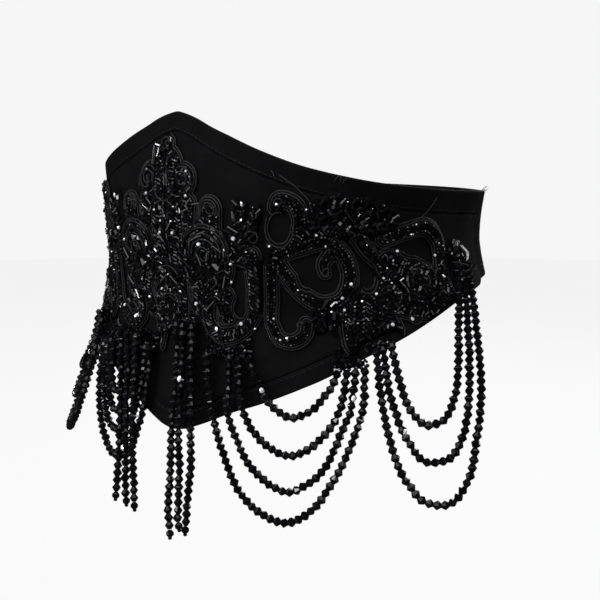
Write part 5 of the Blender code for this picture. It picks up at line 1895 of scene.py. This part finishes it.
def studio_world(settings):
    """White seen behind the object, and a dimmer room that lights it."""
    world = bpy.data.worlds.new("studio")
    world.use_nodes = True
    sky = world.node_tree.nodes["Background"]
    sky.inputs["Color"].default_value = (*settings.world_color, 1)
    camera_level(world.node_tree, settings.world_strength, settings.wall_strength,
                 sky.inputs["Strength"])
    return world


def make_stage(settings):
    """Floor, lights, world and the camera."""
    pts, faces = floor_part(FLOOR_HALF, settings.floor_level / MM, FLOOR_FALL)
    mesh = bpy.data.meshes.new("floor")
    mesh.from_pydata((pts * MM).tolist(), [], faces[0].tolist())
    mesh.materials.append(materials("floor"))
    floor = bpy.data.objects.new("floor", mesh)
    bpy.context.scene.collection.objects.link(floor)
    for name, azimuth, elevation, distance, size, power in LIGHTS:
        area_light(name, azimuth, elevation, distance, size, power * settings.light_power,
                   CAMERA_TARGET)
    bpy.context.scene.world = studio_world(settings)
    bpy.context.scene.view_settings.view_transform = "Standard"
    data = bpy.data.cameras.new("camera")
    data.sensor_fit = "HORIZONTAL"
    data.sensor_width = SENSOR
    data.lens = CAMERA_FOCAL_PIXELS / FRAME_PIXELS * SENSOR
    data.clip_start = 0.01
    data.clip_end = 50.0
    camera = bpy.data.objects.new("camera", data)
    bpy.context.scene.collection.objects.link(camera)
    aim(camera, CAMERA_AZIMUTH, CAMERA_ELEVATION, CAMERA_DISTANCE, CAMERA_TARGET)
    bpy.context.scene.camera = camera


# Settings, operators and panel


def color_setting(name, description, default):
    """A colour that the user may change."""
    return FloatVectorProperty(name=name, description=description, default=default, size=3,
                               min=0, max=1, subtype="COLOR")


class ClothSettings(bpy.types.PropertyGroup):
    """Sizes and colours of the cloth."""

    wall: FloatProperty(name="Wall", description="Thickness of the cloth", default=0.0022,
                        min=0.001, max=0.003, unit="LENGTH")
    stitch: FloatProperty(name="Stitch", description="Length of one topstitch", default=0.0021,
                          min=0.0005, unit="LENGTH")
    loose_thread: FloatProperty(name="Loose thread", description="Radius of a stray thread",
                                default=0.00012, min=0.00005, unit="LENGTH")
    panel_color: color_setting("Panel", "Colour of the panel cloth", (0.0021, 0.0021, 0.0025))
    band_color: color_setting("Bands", "Colour of the band cloth", (0.0017, 0.0017, 0.0021))


class BeadSettings(bpy.types.PropertyGroup):
    """Sizes of the cords and beads."""

    cord: FloatProperty(name="Cord", description="Radius of the outline cords",
                        default=0.00034, min=0.0001, unit="LENGTH")
    pitch: FloatProperty(name="Pitch", description="Length of one strand bead",
                         default=0.0040, min=0.001, unit="LENGTH")
    radius: FloatProperty(name="Radius", description="Radius of one strand bead",
                          default=0.0024, min=0.0005, unit="LENGTH")
    seed: IntProperty(name="Seed", description="Number that sets the random placing",
                      default=7, min=0)


class StageSettings(bpy.types.PropertyGroup):
    """Floor and light."""

    floor_level: FloatProperty(name="Floor level", description="Height of the floor",
                               default=-0.32, unit="LENGTH")
    floor_color: color_setting("Floor", "Colour of the floor", (0.035, 0.035, 0.035))
    world_color: color_setting("World", "Colour of the surroundings", (1.0, 1.0, 1.0))
    world_strength: FloatProperty(name="World strength", description="Light from all round",
                                  default=0.05, min=0)
    wall_strength: FloatProperty(name="Wall strength", description="White seen behind",
                                 default=0.92, min=0)
    light_power: FloatProperty(name="Light power", description="Scale of the lamps",
                               default=1.0, min=0)


class BELT_OT_cloth(bpy.types.Operator):
    """Build the panels and bands"""

    bl_idname = "belt.cloth"
    bl_label = "Cloth"

    def execute(self, context):
        """Run the step."""
        make_cloth(context.scene.belt_cloth)
        return {"FINISHED"}


class BELT_OT_stitching(bpy.types.Operator):
    """Sew the topstitching"""

    bl_idname = "belt.stitching"
    bl_label = "Stitching"

    def execute(self, context):
        """Run the step."""
        make_stitching(context.scene.belt_cloth)
        return {"FINISHED"}


class BELT_OT_loose_threads(bpy.types.Operator):
    """Add the stray threads"""

    bl_idname = "belt.loose_threads"
    bl_label = "Loose Threads"

    def execute(self, context):
        """Run the step."""
        make_loose_threads(context.scene.belt_cloth)
        return {"FINISHED"}


class BELT_OT_lace(bpy.types.Operator):
    """Lay the net and its corded outlines"""

    bl_idname = "belt.lace"
    bl_label = "Lace"

    def execute(self, context):
        """Run the step."""
        make_lace(context.scene.belt_beads)
        return {"FINISHED"}


class BELT_OT_beading(bpy.types.Operator):
    """Sew the beads and stones on the lace"""

    bl_idname = "belt.beading"
    bl_label = "Beading"

    def execute(self, context):
        """Run the step."""
        make_beading(context.scene.belt_beads)
        return {"FINISHED"}


class BELT_OT_strands(bpy.types.Operator):
    """String the swags and hanging strands"""

    bl_idname = "belt.strands"
    bl_label = "Strands"

    def execute(self, context):
        """Run the step."""
        make_strands(context.scene.belt_beads)
        return {"FINISHED"}


class BELT_OT_jewels(bpy.types.Operator):
    """Set the oval stones"""

    bl_idname = "belt.jewels"
    bl_label = "Jewels"

    def execute(self, context):
        """Run the step."""
        make_jewels()
        return {"FINISHED"}


class BELT_OT_fasteners(bpy.types.Operator):
    """Finish the hooks and bars"""

    bl_idname = "belt.fasteners"
    bl_label = "Fasteners"

    def execute(self, context):
        """Run the step."""
        make_fasteners()
        return {"FINISHED"}


class BELT_OT_stage(bpy.types.Operator):
    """Set the floor, lights and camera"""

    bl_idname = "belt.stage"
    bl_label = "Stage"

    def execute(self, context):
        """Run the step."""
        make_stage(context.scene.belt_stage)
        return {"FINISHED"}


OPERATORS = (
    BELT_OT_cloth, BELT_OT_stitching, BELT_OT_loose_threads, BELT_OT_lace, BELT_OT_beading,
    BELT_OT_strands, BELT_OT_jewels, BELT_OT_fasteners, BELT_OT_stage,
)


class BELT_PT_tools(bpy.types.Panel):
    """Lists the steps and sizes of the belt."""

    bl_label = "Corset Belt"
    bl_idname = "BELT_PT_tools"
    bl_space_type = "VIEW_3D"
    bl_region_type = "UI"
    bl_category = "Belt"

    def draw(self, context):
        """Show the settings and a button for each step."""
        for group in ("belt_cloth", "belt_beads", "belt_stage"):
            settings = getattr(context.scene, group)
            for key in settings.__annotations__:
                self.layout.prop(settings, key)
        for step in OPERATORS:
            self.layout.operator(step.bl_idname)


CLASSES = (ClothSettings, BeadSettings, StageSettings, *OPERATORS, BELT_PT_tools)


def register():
    """Register the classes and the scene's settings."""
    for cls in CLASSES:
        bpy.utils.register_class(cls)
    bpy.types.Scene.belt_cloth = PointerProperty(type=ClothSettings)
    bpy.types.Scene.belt_beads = PointerProperty(type=BeadSettings)
    bpy.types.Scene.belt_stage = PointerProperty(type=StageSettings)


def unregister():
    """Remove the settings and the classes."""
    for key in ("belt_cloth", "belt_beads", "belt_stage"):
        delattr(bpy.types.Scene, key)
    for cls in reversed(CLASSES):
        bpy.utils.unregister_class(cls)


def main():
    register()
    for step in OPERATORS:
        getattr(bpy.ops.belt, step.bl_idname.split(".")[1])()


if __name__ == "__main__":
    main()
